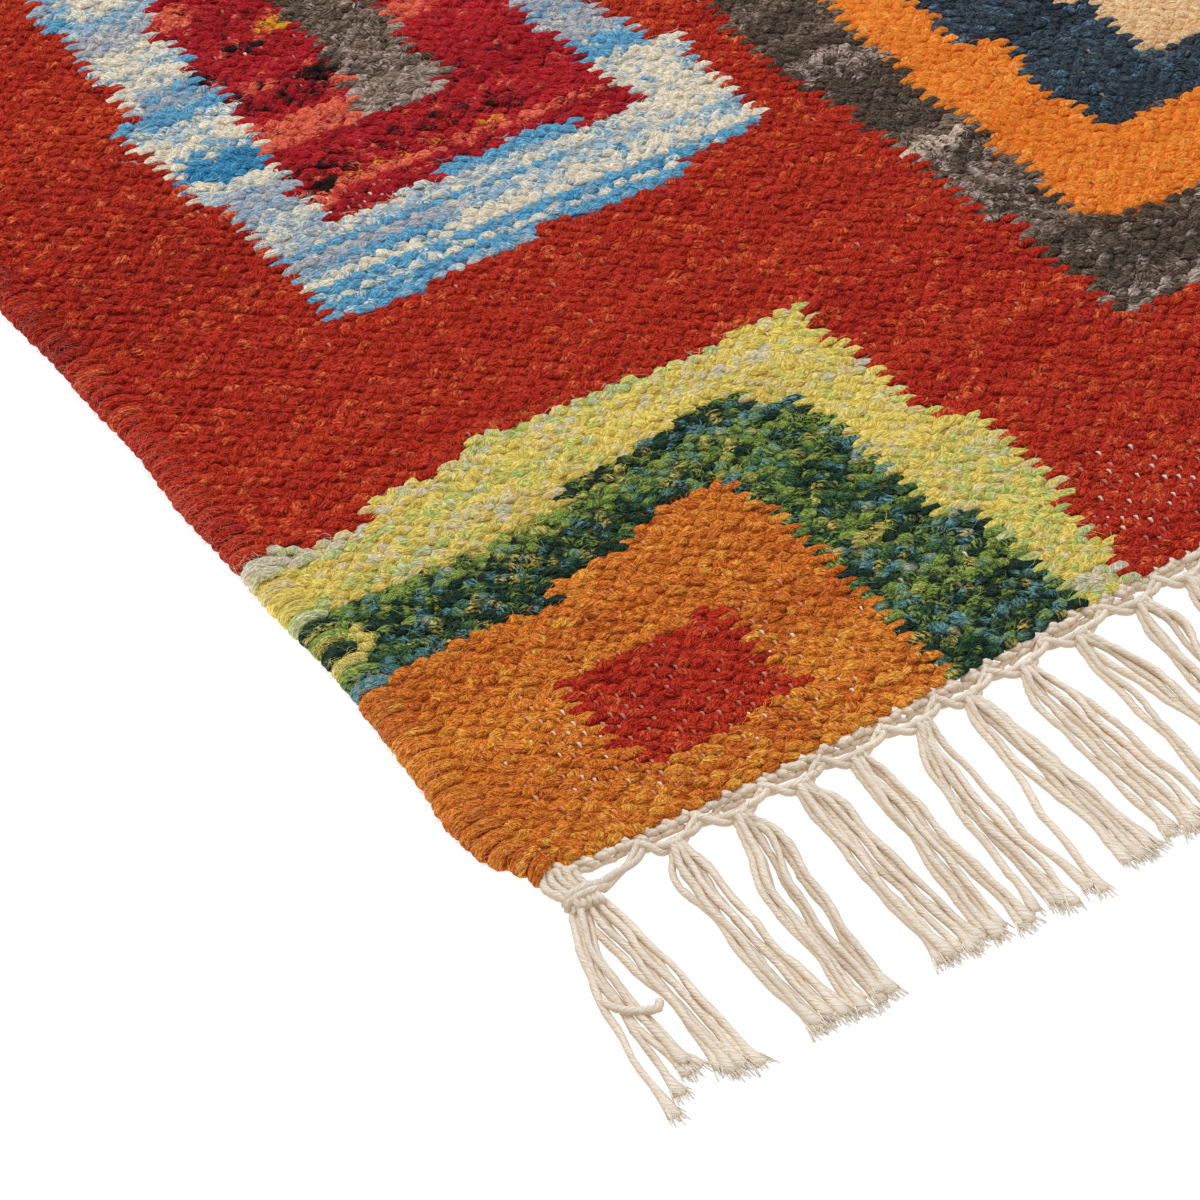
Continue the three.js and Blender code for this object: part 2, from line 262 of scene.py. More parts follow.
# Yarns: the shades that follow each other along each ply, with their shares, and how long each runs; the
# shades of single flecked stitches, with their shares, and the share of stitches that are flecked; how
# coarse the fibres look; and the mean direction in degrees in which they cross a stitch
YARNS = {
    "red": {"runs": {"red": 5, "deep_red": 4, "light_red": 3}, "run": 0.25,
            "flecks": {"orange": 4, "dark_red": 3}, "flecked": 0.22, "coarse": 1.22, "lay": 45},
    "lime": {"runs": {"yellow": 8, "ochre_yellow": 4, "oat": 1, "leaf": 1}, "run": 0.05,
             "flecks": {"leaf": 3, "oat": 5, "yellow": 2}, "flecked": 0.42, "coarse": 0.6, "lay": 30},
    "forest": {"runs": {"pine": 9, "moss": 5, "fern": 3, "teal": 1}, "run": 0.008,
               "flecks": {"fern": 3, "teal": 2, "pine": 4, "ochre_yellow": 2}, "flecked": 0.45,
               "coarse": 1.35, "lay": -6},
    "rust": {"runs": {"rust": 4, "deep_rust": 3, "light_rust": 3}, "run": 0.15,
             "flecks": {"honey": 4, "dark_rust": 3}, "flecked": 0.25, "coarse": 1.22, "lay": -4},
    "sky": {"runs": {"cream": 5, "pale_blue": 3, "mid_blue": 4, "mist": 2}, "run": 0.1,
            "flecks": {"cream": 3, "mid_blue": 3, "deep_blue": 1}, "flecked": 0.13, "coarse": 0.65, "lay": 0},
    "garnet": {"runs": {"garnet": 7, "wine": 3}, "run": 0.1,
               "flecks": {"coral": 2, "soot": 2, "claret": 5}, "flecked": 0.2, "coarse": 0.62, "lay": 0},
    "stone": {"runs": {"slate": 6, "coal": 2, "light_slate": 2}, "run": 0.04,
              "flecks": {"ash": 2, "coal": 2}, "flecked": 0.25, "coarse": 0.8, "lay": 0},
    "coal": {"runs": {"coal": 7, "slate": 2}, "run": 0.05,
             "flecks": {"ash": 1, "dark_coal": 4, "light_coal": 2}, "flecked": 0.28,
             "coarse": 0.75, "lay": 0},
    "amber": {"runs": {"amber": 4, "deep_amber": 3, "light_amber": 2}, "run": 0.2,
              "flecks": {"pale_amber": 2, "dark_amber": 1}, "flecked": 0.2, "coarse": 0.42, "lay": 30},
    "navy": {"runs": {"navy": 5, "light_navy": 3, "deep_navy": 2}, "run": 0.1,
             "flecks": {"denim": 1, "ink": 1}, "flecked": 0.2, "coarse": 0.8, "lay": 0},
    "sand": {"runs": {"sand": 4, "deep_sand": 2}, "run": 0.2,
             "flecks": {"pale_sand": 2, "tan": 1}, "flecked": 0.2, "coarse": 0.6, "lay": 0},
}
YARN_NAMES = tuple(YARNS)
SHADE_STRAY = 0.035         # how much lighter or darker a stitch is than its dye

FAR = 999
# The chart, counted in warps from the selvedge and in picks from the end, painted in this order.
# An edge that steps is a row of (up to this pick or warp, the edge's place), the last one for the rest.
CHART = (
    {"yarn": "lime", "left": -9, "right": ((5, 65), (15, 66.3), (32, 68.2), (FAR, 64.8)), "near": -9,
     "far": ((5, 55.3), (13, 53.8), (25.5, 56.6), (45, 58.3), (FAR, 57.7))},
    {"yarn": "forest", "left": -9, "right": ((20, 59.3), (45, 56.5), (FAR, 54.5)), "near": -9,
     "far": ((29, 44.0), (39, 47.4), (51.5, 48.8), (FAR, 46.2))},
    {"yarn": "rust", "left": -9, "right": 44.5, "near": -9, "far": ((21, 32.8), (31, 35.3), (FAR, 37.8))},
    {"yarn": "red", "left": ((10, 16.6), (FAR, 15.6)), "right": 32.8, "near": 7.6, "far": 22.2},
    {"yarn": "sky", "left": ((112, 25), (132, 23.2), (FAR, 26)), "right": ((112, 80.4), (FAR, 77.8)),
     "near": ((36.5, 84.2), (50.5, 85.1), (68.3, 86.5), (FAR, 89.4)), "far": 215},
    {"yarn": "garnet", "left": ((110, 32.7), (118, 34), (150, 35), (FAR, 36.5)), "right": 70.6,
     "near": ((46.5, 101.2), (63, 104), (FAR, 101.5)), "far": 196},
    {"yarn": "stone", "left": ((125, 46), (FAR, 48)), "right": ((120, 55.2), (FAR, 57)), "near": 117,
     "far": 180},
    {"yarn": "coal", "left": ((44, 90.6), (58, 90), (80, 88.4), (FAR, 87.2)), "right": FAR, "near": 36.4,
     "far": 215},
    {"yarn": "amber", "left": ((54, 97.6), (88, 96.6), (FAR, 98)), "right": FAR, "near": 50.4, "far": 200},
    {"yarn": "navy", "left": ((81, 108), (87.5, 110), (FAR, 106)), "right": FAR, "near": 64.6, "far": 187},
    {"yarn": "sand", "left": ((88, 122), (FAR, 119.4)), "right": FAR, "near": 74.6, "far": 174},
)
MISSES = {"warps": 0.45, "picks": 0.35}     # how far an edge wanders from the chart
MISS_WAVES = ((5.1, 1.0, 1.0), (2.3, 0.7, 2.1), (1.1, 0.5, 3.7))   # their lengths, shares and phases

# Lots of unevenly dyed wool in each yarn, as warps and picks from the edges: from and to warp, from and to
# pick, shade, and the share of stitches that take it
LOTS = {
    "lime": (
        (0, 13, 52.5, 56, "oat", 0.95), (13, 45, 54, 57, "oat", 0.25), (8, 26, 48.5, 50.2, "oat", 0.25),
        (19, 29, 46.5, 49, "oat", 0.4), (44, 60, 51, 54.5, "oat", 0.35), (26, 55, 56.4, 59, "oat", 0.4),
        (26, 55, 56.4, 59, "leaf", 0.35), (0, 13, 44.5, 47, "ochre_yellow", 0.5),
        (56, 70, 0, 28, "leaf", 0.3), (57, 64, 30, 50, "yellow", 0.6),
    ),
    "forest": (
        (0, 9, 42, 46, "teal", 0.3), (0, 54, 41.3, 46, "fern", 0.55),
        (12, 40, 43.5, 46, "ochre_yellow", 0.15), (40, 54, 44, 47.5, "teal", 0.45),
        (0, 44, 39.4, 41.4, "pine", 0.6), (6, 44, 36.8, 39.4, "pine", 0.5), (0, 12, 33, 35, "teal", 0.4),
        (6, 44, 36, 38.5, "teal", 0.15), (10, 44, 32, 36.8, "pine", 0.6), (29, 50, 45.4, 49, "pine", 0.6),
        (2.5, 5.5, 37, 41, "yellow", 0.9), (44, 52, 20.6, 22.6, "ochre_yellow", 0.6),
        (44, 60, 15, 20, "pine", 0.38), (44, 60, 15, 20, "teal", 0.2), (44, 60, 10, 15, "fern", 0.5),
        (44, 60, 0, 10, "pine", 0.5), (44, 60, 0, 8, "teal", 0.15), (50, 57, 33, 44, "pine", 0.3),
        (48, 57, 37, 44, "fern", 0.3), (44, 50, 24, 34, "fern", 0.3),
    ),
    "rust": ((3, 45, 0, 6, "gold", 0.28),),
    "red": ((0, 24, 92, 130, "brick", 0.3),),
    "sky": (
        (22, 37, 101, 106.5, "pale_blue", 0.4), (22, 37, 106.5, 112, "mist", 0.7),
        (22, 37, 112, 115.5, "cream", 0.45), (22, 37, 115, 120, "deep_blue", 1.0),
        (22, 37, 120, 123.5, "mid_blue", 0.55), (22, 37, 123.5, 127, "cream", 0.45),
        (26, 33, 123.5, 127, "pale_blue", 0.4), (22, 37, 129.5, 132.5, "mid_blue", 0.8),
        (22, 37, 132.5, 134.5, "mist", 0.7), (28, 37, 134.5, 137.5, "mid_blue", 0.8),
        (22, 28, 134.5, 137.5, "cream", 0.8), (22, 37, 137.5, 147.5, "cream", 0.75),
        (22, 37, 147.5, 152.5, "mist", 0.7), (22, 37, 152.5, 155.5, "pale_blue", 0.8),
        (22, 28.5, 155.5, 159, "mid_blue", 0.85), (28.5, 37, 155.5, 170, "cream", 0.8),
        (22, 82, 83, 86, "pale_blue", 0.8), (22, 38, 83, 86, "mid_blue", 0.85),
        (22, 82, 86, 87.6, "mid_blue", 0.9), (22, 82, 87.6, 88.6, "cream", 0.4),
        (22, 82, 88.6, 91, "mid_blue", 0.85), (45, 72, 88.6, 90, "deep_blue", 0.4),
        (22, 82, 91, 92.9, "cream", 0.9), (33, 46, 92.9, 94.7, "mid_blue", 0.8),
        (46, 82, 92.9, 94.7, "cream", 0.6), (22, 46, 94.7, 96.7, "mist", 0.9),
        (46, 82, 94.7, 96.7, "pale_blue", 0.5), (25, 62, 96.7, 98.5, "mid_blue", 0.8),
        (22, 82, 98.5, 100.6, "cream", 0.4), (46, 63, 101, 105, "mid_blue", 0.8),
        (70, 82, 96, 112.5, "cream", 0.9), (70, 82, 112.5, 117.5, "mid_blue", 0.75),
        (70, 82, 117.5, 130, "mist", 0.85), (22, 25.4, 115, 127, "cream", 0.8),
        (33.5, 37, 119, 127, "cream", 0.6),
    ),
    "garnet": (
        (33, 46, 117.3, 123.4, "coral", 0.9), (33, 70, 106.4, 108, "coral", 0.7),
        (31, 35.6, 103.5, 106, "coral", 0.9), (33, 62, 108.7, 114, "soot", 0.3),
        (33.5, 37.5, 107.5, 109.5, "soot", 0.8), (44.3, 50, 127.3, 131, "soot", 0.95),
        (36, 46, 124.5, 131, "soot", 0.35), (40, 44, 137.5, 140, "soot", 0.7),
        (33, 36.5, 133.5, 140.5, "soot", 0.5), (46, 49.5, 140.5, 143.5, "marigold", 0.95),
        (38.5, 41, 129.5, 131.5, "coral", 0.8), (46, 49, 124, 127, "coral", 0.8),
        (56, 62, 133.5, 137, "coral", 0.8), (35, 40, 147.5, 152.5, "coral", 0.7),
        (40, 60, 107.4, 109, "marigold", 0.18),
    ),
    "stone": (
        (45, 57, 116, 119.5, "ash", 0.75), (45, 57, 119.5, 123.5, "ash", 0.25),
        (45, 57, 124, 127, "coal", 0.5), (45, 57, 127, 129, "ash", 0.35), (45, 57, 129, 133, "coal", 0.5),
        (45, 57, 132, 136.5, "ash", 0.2), (45, 57, 136.5, 144, "coal", 0.25),
    ),
    "coal": (
        (87, FAR, 36, 40, "ash", 0.32), (87, FAR, 42, 48, "coal", 0.85), (87, 96, 55, 66, "ash", 0.33),
        (87, 96, 66, 73.5, "ash", 0.25), (87, 96, 73.5, 76.5, "shell", 0.75), (87, 98, 92, 98, "ash", 0.35),
    ),
}
LOT_STRAY = 0.8             # how many warps a lot's ends stray from pick to pick


def stray(spread, *shape):
    return RANDOM.normal(0, spread, shape)


def hump(distance, spread):
    return np.exp(-((distance / spread) ** 2))


# Uneven edges
def selvedge_out(along):
    """How far the selvedge stands out of its straight line, at a distance from its near end."""
    out = 0.0
    for from_corner in (along, LENGTH - along):
        out = out + BULGE["out"] * hump(from_corner - BULGE["at"], BULGE["spread"])
        out = out - DRAW_IN["in"] * hump(from_corner, DRAW_IN["spread"])
    for high, long in SELVEDGE_WAVES:
        out = out + high * np.sin(2 * math.pi * along / long)
    return out


def end_in(across):
    """How far the end of the cloth is drawn in, at a distance from its left corner."""
    turn = 2 * math.pi * (across - END_WAVE["low_at"]) / END_WAVE["long"]
    rise = hump(across, END_RISE["spread"]) + hump(WIDTH - across, END_RISE["spread"])
    return END_WAVE["high"] * (1 - np.cos(turn)) + END_RISE["high"] * rise


def fade(distance):
    """1 at an edge of the cloth, down to 0 well inside it."""
    return np.clip(1 - distance / EDGE_REACH, 0, 1) ** 2


def settled(points):
    """Points of a perfectly straight weave, moved to where the uneven edges pull them."""
    x, y = points[..., 0], points[..., 1]
    left, right = x + WIDTH / 2, WIDTH / 2 - x
    near, far = y + LENGTH / 2, LENGTH / 2 - y
    bow = PICK_BOW["high"] * np.sin(x / PICK_BOW["across"] + y / PICK_BOW["along"])
    moved = points.copy()
    moved[..., 0] = x - selvedge_out(near) * fade(left) + selvedge_out(far) * fade(right)
    moved[..., 1] = y + end_in(left) * fade(near) - end_in(right) * fade(far)
    moved[..., 1] += bow * (1 - fade(near)) * (1 - fade(far))
    return moved


def warp_x(warp):
    return FIRST_WARP + warp * WARP_PITCH - WIDTH / 2


def pick_y(pick):
    return (pick + 0.5) * PICK_PITCH - LENGTH / 2


# Meshes of many small shapes
class Pile:
    """Many small closed shapes gathered into one mesh."""

    def __init__(self):
        self.points = []
        self.corners = []
        self.sizes = []
        self.layers = {"ply_a": [], "ply_b": [], "yarn": []}
        self.count = 0
        self.triangles = 0

    def add(self, points, faces, ply_a, ply_b, yarn):
        """points is (shapes, corners, 3), faces a row of corner numbers for each face of one shape."""
        shapes, corners = points.shape[:2]
        start = self.count + corners * np.arange(shapes)[:, None]
        flat = np.concatenate([np.array(face) for face in faces])
        sizes = np.array([len(face) for face in faces])
        self.points.append(points.reshape(-1, 3))
        self.corners.append((flat[None, :] + start).ravel())
        self.sizes.append(np.tile(sizes, shapes))
        for name, values, parts in (("ply_a", ply_a, 4), ("ply_b", ply_b, 4), ("yarn", yarn, 2)):
            values = np.asarray(values, float)
            if values.ndim == 2:
                values = values[:, None, :]
            self.layers[name].append(np.broadcast_to(values, (shapes, corners, parts)).reshape(-1, parts))
        self.count += shapes * corners
        self.triangles += int((sizes - 2).sum()) * shapes

    def build(self, name, material):
        points = np.concatenate(self.points)
        points[:, 2] = np.maximum(points[:, 2], 0.0)    # what touches the floor is flattened by it
        corners = np.concatenate(self.corners)
        sizes = np.concatenate(self.sizes)
        mesh = bpy.data.meshes.new(name)
        mesh.vertices.add(len(points))
        mesh.vertices.foreach_set("co", points.ravel())
        mesh.loops.add(len(corners))
        mesh.loops.foreach_set("vertex_index", corners)
        mesh.polygons.add(len(sizes))
        mesh.polygons.foreach_set("loop_start", np.concatenate(([0], np.cumsum(sizes)[:-1])))
        mesh.polygons.foreach_set("use_smooth", np.full(len(sizes), True))
        for layer in ("ply_a", "ply_b"):
            values = np.concatenate(self.layers[layer])
            mesh.color_attributes.new(layer, "FLOAT_COLOR", "POINT").data.foreach_set("color", values.ravel())
        uv = np.concatenate(self.layers["yarn"])[corners]
        mesh.uv_layers.new(name="yarn").data.foreach_set("uv", uv.ravel())
        mesh.update(calc_edges=True)
        mesh.materials.append(material)
        built = bpy.data.objects.new(name, mesh)
        bpy.context.scene.collection.objects.link(built)
        print(name, "triangles", self.triangles)
        return built


def one_pile(name, material, *shapes):
    """A mesh whose shapes all have the same faces."""
    pile = Pile()
    pile.add(*shapes)
    return pile.build(name, material)


def some_place(count, length=YARN_MM):
    """A random place on a length of yarn, for each shape."""
    return RANDOM.uniform(0, length, (count, 1, 2))


def unit(vectors):
    return vectors / np.maximum(np.linalg.norm(vectors, axis=-1, keepdims=True), 1e-12)


def smooth_path(controls, stations):
    """Curves through control points of shape (curves, controls, 3), cut into evenly numbered stations."""
    last = controls.shape[1] - 1
    before = 2 * controls[:, :1] - controls[:, 1:2]
    after = 2 * controls[:, -1:] - controls[:, -2:-1]
    padded = np.concatenate([before, controls, after], axis=1)
    at = np.linspace(0, last, stations)
    leg = np.minimum(at.astype(int), last - 1)
    t = (at - leg)[None, :, None]
    a, b, c, d = (padded[:, leg + step] for step in range(4))
    return b + 0.5 * t * (c - a + t * (2 * a - 5 * b + 4 * c - d + t * (3 * (b - c) + d - a)))


def path_lengths(paths):
    """How far along its path every station lies."""
    steps = np.linalg.norm(np.diff(paths, axis=1), axis=-1)
    return np.concatenate([np.zeros((len(paths), 1)), np.cumsum(steps, axis=1)], axis=1)


def frames(paths, beside):
    """The tangent, side and up directions at every station of the paths."""
    tangent = unit(np.gradient(paths, axis=1))
    beside = np.broadcast_to(np.asarray(beside, float), paths.shape)
    side = unit(beside - (beside * tangent).sum(-1, keepdims=True) * tangent)
    return tangent, side, np.cross(tangent, side)


def even_angles(sides, seam=-math.pi / 2):
    """Angles round a tube, with the seam between the last and the first of them at the angle seam."""
    return seam + 2 * math.pi * (np.arange(sides) + 0.5) / sides


def tube_faces(stations, sides):
    """The faces of one tube, whose points are its first tip, its rings and its last tip."""
    faces = []
    for station in range(stations - 1):
        for s in range(sides):
            a = 1 + station * sides + s
            b = 1 + station * sides + (s + 1) % sides
            faces.append((a, b, b + sides, a + sides))
    end = 1 + stations * sides
    for s in range(sides):
        faces.append((0, 1 + (s + 1) % sides, 1 + s))
        faces.append((end, end - sides + s, end - sides + (s + 1) % sides))
    return faces


def tubes(paths, side_radius, up_radius, angles, beside, lobes=1.0):
    """Closed tubes along paths of shape (tubes, stations, 3), each end drawn to a point.

    beside is the rough direction of the section's side axis, and lobes scales each corner's radius.
    Gives the points, the faces of one tube, and each point's place along and round the yarn, in mm.
    """
    count, stations = paths.shape[:2]
    sides = len(angles)
    tangent, side, up = frames(paths, beside)
    side_radius = np.broadcast_to(side_radius, (count, stations))
    up_radius = np.broadcast_to(up_radius, (count, stations))
    turn = np.asarray(angles)[None, None, :]
    lobes = np.broadcast_to(lobes, (count, stations, sides))
    across = (np.cos(turn) * side_radius[..., None] * lobes)[..., None] * side[:, :, None, :]
    above = (np.sin(turn) * up_radius[..., None] * lobes)[..., None] * up[:, :, None, :]
    rings = (paths[:, :, None, :] + across + above).reshape(count, stations * sides, 3)
    first = paths[:, 0] - tangent[:, 0] * side_radius[:, :1] * TIP
    last = paths[:, -1] + tangent[:, -1] * side_radius[:, -1:] * TIP
    points = np.concatenate([first[:, None], rings, last[:, None]], axis=1)
    along = path_lengths(paths) / MM
    round_it = np.asarray(angles) * float(np.mean(side_radius)) / MM
    ring_uv = np.stack(np.broadcast_arrays(along[..., None], round_it[None, None, :]), axis=-1)
    ring_uv = ring_uv.reshape(count, stations * sides, 2)
    middle = np.full(count, round_it.mean())
    first_uv = np.stack([along[:, 0] - TIP_MM, middle], axis=-1)[:, None]
    last_uv = np.stack([along[:, -1] + TIP_MM, middle], axis=-1)[:, None]
    return points, tube_faces(stations, sides), np.concatenate([first_uv, ring_uv, last_uv], axis=1)


# Which yarn each warp and pick carries
def crossings(warps=(0, WARPS), picks=(0, PICKS)):
    """The warp and pick of every crossing between these warps and picks."""
    return np.meshgrid(np.arange(*warps), np.arange(*picks), indexing="ij")


def from_edges(warp, pick):
    """The counts of warps and picks from the nearest selvedge and end."""
    from_side = np.minimum(warp, WARPS - 1 - warp) + FIRST_COUNT["warp"]
    from_end = np.minimum(pick, PICKS - 1 - pick) + FIRST_COUNT["pick"]
    return from_side, from_end


def place_of(edge, at):
    """The place of a straight or stepping edge, at each count along it."""
    if not isinstance(edge, tuple):
        return np.full(np.shape(at), float(edge))
    limits = np.array([limit for limit, _ in edge])
    places = np.array([place for _, place in edge], float)
    return places[np.minimum(np.searchsorted(limits, at), len(places) - 1)]


def wander(seed, at, high):
    """A hand weaver's small misses in where an edge falls."""
    return high * sum(share * np.sin(at / long + phase * seed) for long, share, phase in MISS_WAVES)


def charted_yarns():
    warp, pick = crossings()
    from_side, from_end = from_edges(warp, pick)
    yarn = np.zeros(warp.shape, int)
    for number, block in enumerate(CHART):
        jog = wander(number, pick // 2, MISSES["warps"])
        bump = wander(number + 0.5, warp // 2, MISSES["picks"])
        inside = from_side >= place_of(block["left"], from_end) + jog
        inside &= from_side < place_of(block["right"], from_end) + jog
        inside &= from_end >= place_of(block["near"], from_side) + bump
        inside &= from_end < place_of(block["far"], from_side) + bump
        yarn[inside] = YARN_NAMES.index(block["yarn"])
    return yarn


def colours_and_odds(shares):
    """The colours of a table of shades and shares, and the chance of each."""
    odds = np.array(list(shares.values()), float)
    return np.array([SHADES[shade] for shade in shares]), odds / odds.sum()


class Thread:
    """One length of two-ply yarn, each ply of which changes colour as it runs."""

    RUNS = 4000

    def __init__(self, yarn, random):
        colours, odds = colours_and_odds(YARNS[yarn]["runs"])
        self.plies = []
        for _ in range(2):
            picks = random.choice(len(colours), size=self.RUNS, p=odds)
            ends = np.cumsum(YARNS[yarn]["run"] * random.uniform(0.3, 1.7, size=self.RUNS))
            self.plies.append((colours[picks], ends))
        self.done = random.uniform(0, ends[-1] * 0.2)

    def colours_at(self, along):
        return [colours[np.searchsorted(ends, along % ends[-1])] for colours, ends in self.plies]


def spun_colours(yarn):
    """Both ply colours of every warp and pick, from yarns that run to and fro across their blocks."""
    random = np.random.default_rng(DYE_SEED)
    ply_a = np.zeros(yarn.shape + (3,))
    ply_b = np.zeros(yarn.shape + (3,))
    threads = []
    for pick in range(PICKS):
        row = yarn[:, pick]
        starts = np.concatenate(([0], np.nonzero(np.diff(row))[0] + 1))
        stops = np.concatenate((starts[1:], [WARPS]))
        going = []
        for start, stop in zip(starts, stops):
            name = YARN_NAMES[row[start]]
            thread = next((t for a, b, n, t in threads if n == name and a < stop and start < b), None)
            if thread is None or any(thread is t for _, _, _, t in going):
                thread = Thread(name, random)
            length = (stop - start) * WARP_PITCH
            step = (np.arange(stop - start) + 0.5) * WARP_PITCH
            along = thread.done + (step if pick % 2 == 0 else length - step)
            ply_a[start:stop, pick], ply_b[start:stop, pick] = thread.colours_at(along)
            thread.done += length
            going.append((start, stop, name, thread))
        threads = going
    dye_lots(yarn, ply_a, ply_b, random)
    for number, name in enumerate(YARN_NAMES):
        colours, odds = colours_and_odds(YARNS[name]["flecks"])
        here = (yarn == number) & (random.random(yarn.shape) < YARNS[name]["flecked"])
        ply_b[here] = colours[random.choice(len(colours), size=int(here.sum()), p=odds)]
    light = 1 + random.normal(0, SHADE_STRAY, yarn.shape)
    coarse = np.array([YARNS[name]["coarse"] for name in YARN_NAMES])[yarn]
    return [np.concatenate([ply * light[..., None], coarse[..., None]], axis=-1) for ply in (ply_a, ply_b)]


def dye_lots(yarn, ply_a, ply_b, random):
    """Gives single stitches of each lot its shade, in one ply or in both."""
    from_side, from_end = from_edges(*crossings())
    for name, lots in LOTS.items():
        for left, right, near, far, shade, share in lots:
            jog = random.normal(0, LOT_STRAY, (2, PICKS))
            here = (yarn == YARN_NAMES.index(name)) & (from_end >= near) & (from_end < far)
            here &= (from_side >= left + jog[0]) & (from_side < right + jog[1])
            ply_a[here & (random.random(yarn.shape) < share)] = SHADES[shade]
            ply_b[here & (random.random(yarn.shape) < share)] = SHADES[shade]


YARN_OF = charted_yarns()
PLY_A, PLY_B = spun_colours(YARN_OF)


# Node materials
def new_material(name):
    material = bpy.data.materials.new(name)
    material.use_nodes = True
    material.node_tree.nodes.clear()
    return material, material.node_tree


def node(tree, kind, inputs=None, **settings):
    """A new node. Each of its inputs is given as a value or as the output of another node."""
    made = tree.nodes.new(kind)
    for key, value in settings.items():
        setattr(made, key, value)
    for slot, value in (inputs or {}).items():
        if isinstance(value, bpy.types.NodeSocket):
            tree.links.new(value, made.inputs[slot])
        else:
            made.inputs[slot].default_value = value
    return made


def math_node(tree, operation, *values):
    return node(tree, "ShaderNodeMath", dict(enumerate(values)), operation=operation).outputs[0]


def times(tree, first, second):
    return math_node(tree, "MULTIPLY", first, second)


def yarn_axes(tree):
    """The places along and round the yarn, in mm."""
    uv = node(tree, "ShaderNodeUVMap", uv_map="yarn").outputs[0]
    parts = node(tree, "ShaderNodeSeparateXYZ", {0: uv})
    return parts.outputs[0], parts.outputs[1]


def yarn_slant(tree, slant):
    """The place round the yarn, in mm, turned with its twist."""
    along, round_it = yarn_axes(tree)
    return math_node(tree, "ADD", round_it, times(tree, along, slant))


def yarn_place(tree, slant, along_scale, round_scale, shift):
    """The place on the yarn, slanted as its fibres twist and stretched along them."""
    along = times(tree, yarn_axes(tree)[0], along_scale)
    round_it = times(tree, yarn_slant(tree, slant), round_scale)
    return node(tree, "ShaderNodeCombineXYZ", {0: along, 1: round_it, 2: shift}).outputs[0]


def noise(tree, vector, scale, detail=3.0, roughness=0.6, distortion=0.0):
    inputs = {"Vector": vector, "Scale": scale, "Detail": detail, "Roughness": roughness,
              "Distortion": distortion}
    return node(tree, "ShaderNodeTexNoise", inputs).outputs["Fac"]


def ramp(tree, value, low, high, low_to=0.0, high_to=1.0):
    inputs = {"Value": value, "From Min": low, "From Max": high, "To Min": low_to, "To Max": high_to}
    return node(tree, "ShaderNodeMapRange", inputs).outputs["Result"]


def mixed(tree, factor, first, second, blend="MIX"):
    inputs = {0: factor, 6: first, 7: second}
    return node(tree, "ShaderNodeMix", inputs, data_type="RGBA", blend_type=blend).outputs[2]


def curved(tree, colour, gamma):
    return node(tree, "ShaderNodeGamma", {"Color": colour, "Gamma": gamma}).outputs[0]


def scaled(tree, colour, light):
    return mixed(tree, 1.0, colour, (light, light, light, 1.0), "MULTIPLY")


def steepness(tree):
    """0 where a surface faces up, up to 1 on its sides."""
    normal = node(tree, "ShaderNodeNewGeometry").outputs["Normal"]
    parts = node(tree, "ShaderNodeSeparateXYZ", {0: normal})
    return ramp(tree, parts.outputs[2], 1.0, 0.3)


def crossing_fibres(tree, scale, levels, width):
    """1 on thin crossing lines, where a slow noise passes through some of its values, and 0 elsewhere."""
    place = node(tree, "ShaderNodeNewGeometry").outputs["Position"]
    slow = noise(tree, place, scale, 1.5)
    off_line = math_node(tree, "PINGPONG", times(tree, slow, float(levels)), 0.5)
    return ramp(tree, off_line, 0.0, width, 1.0, 0.0)


def finish_material(tree, colour, height, bump, distance, roughness, sheen, glow=(0.0, 0.0, 0.0, 1.0)):
    relief = node(tree, "ShaderNodeBump", {"Strength": bump, "Distance": distance, "Height": height})
    shader = node(tree, "ShaderNodeBsdfPrincipled", {
        "Base Color": colour, "Normal": relief.outputs[0], "Roughness": roughness, "Specular IOR Level": 0.06,
        "Sheen Weight": sheen, "Sheen Roughness": 0.5, "Emission Color": glow, "Emission Strength": 1.0,
    })
    node(tree, "ShaderNodeOutputMaterial", {0: shader.outputs[0]})


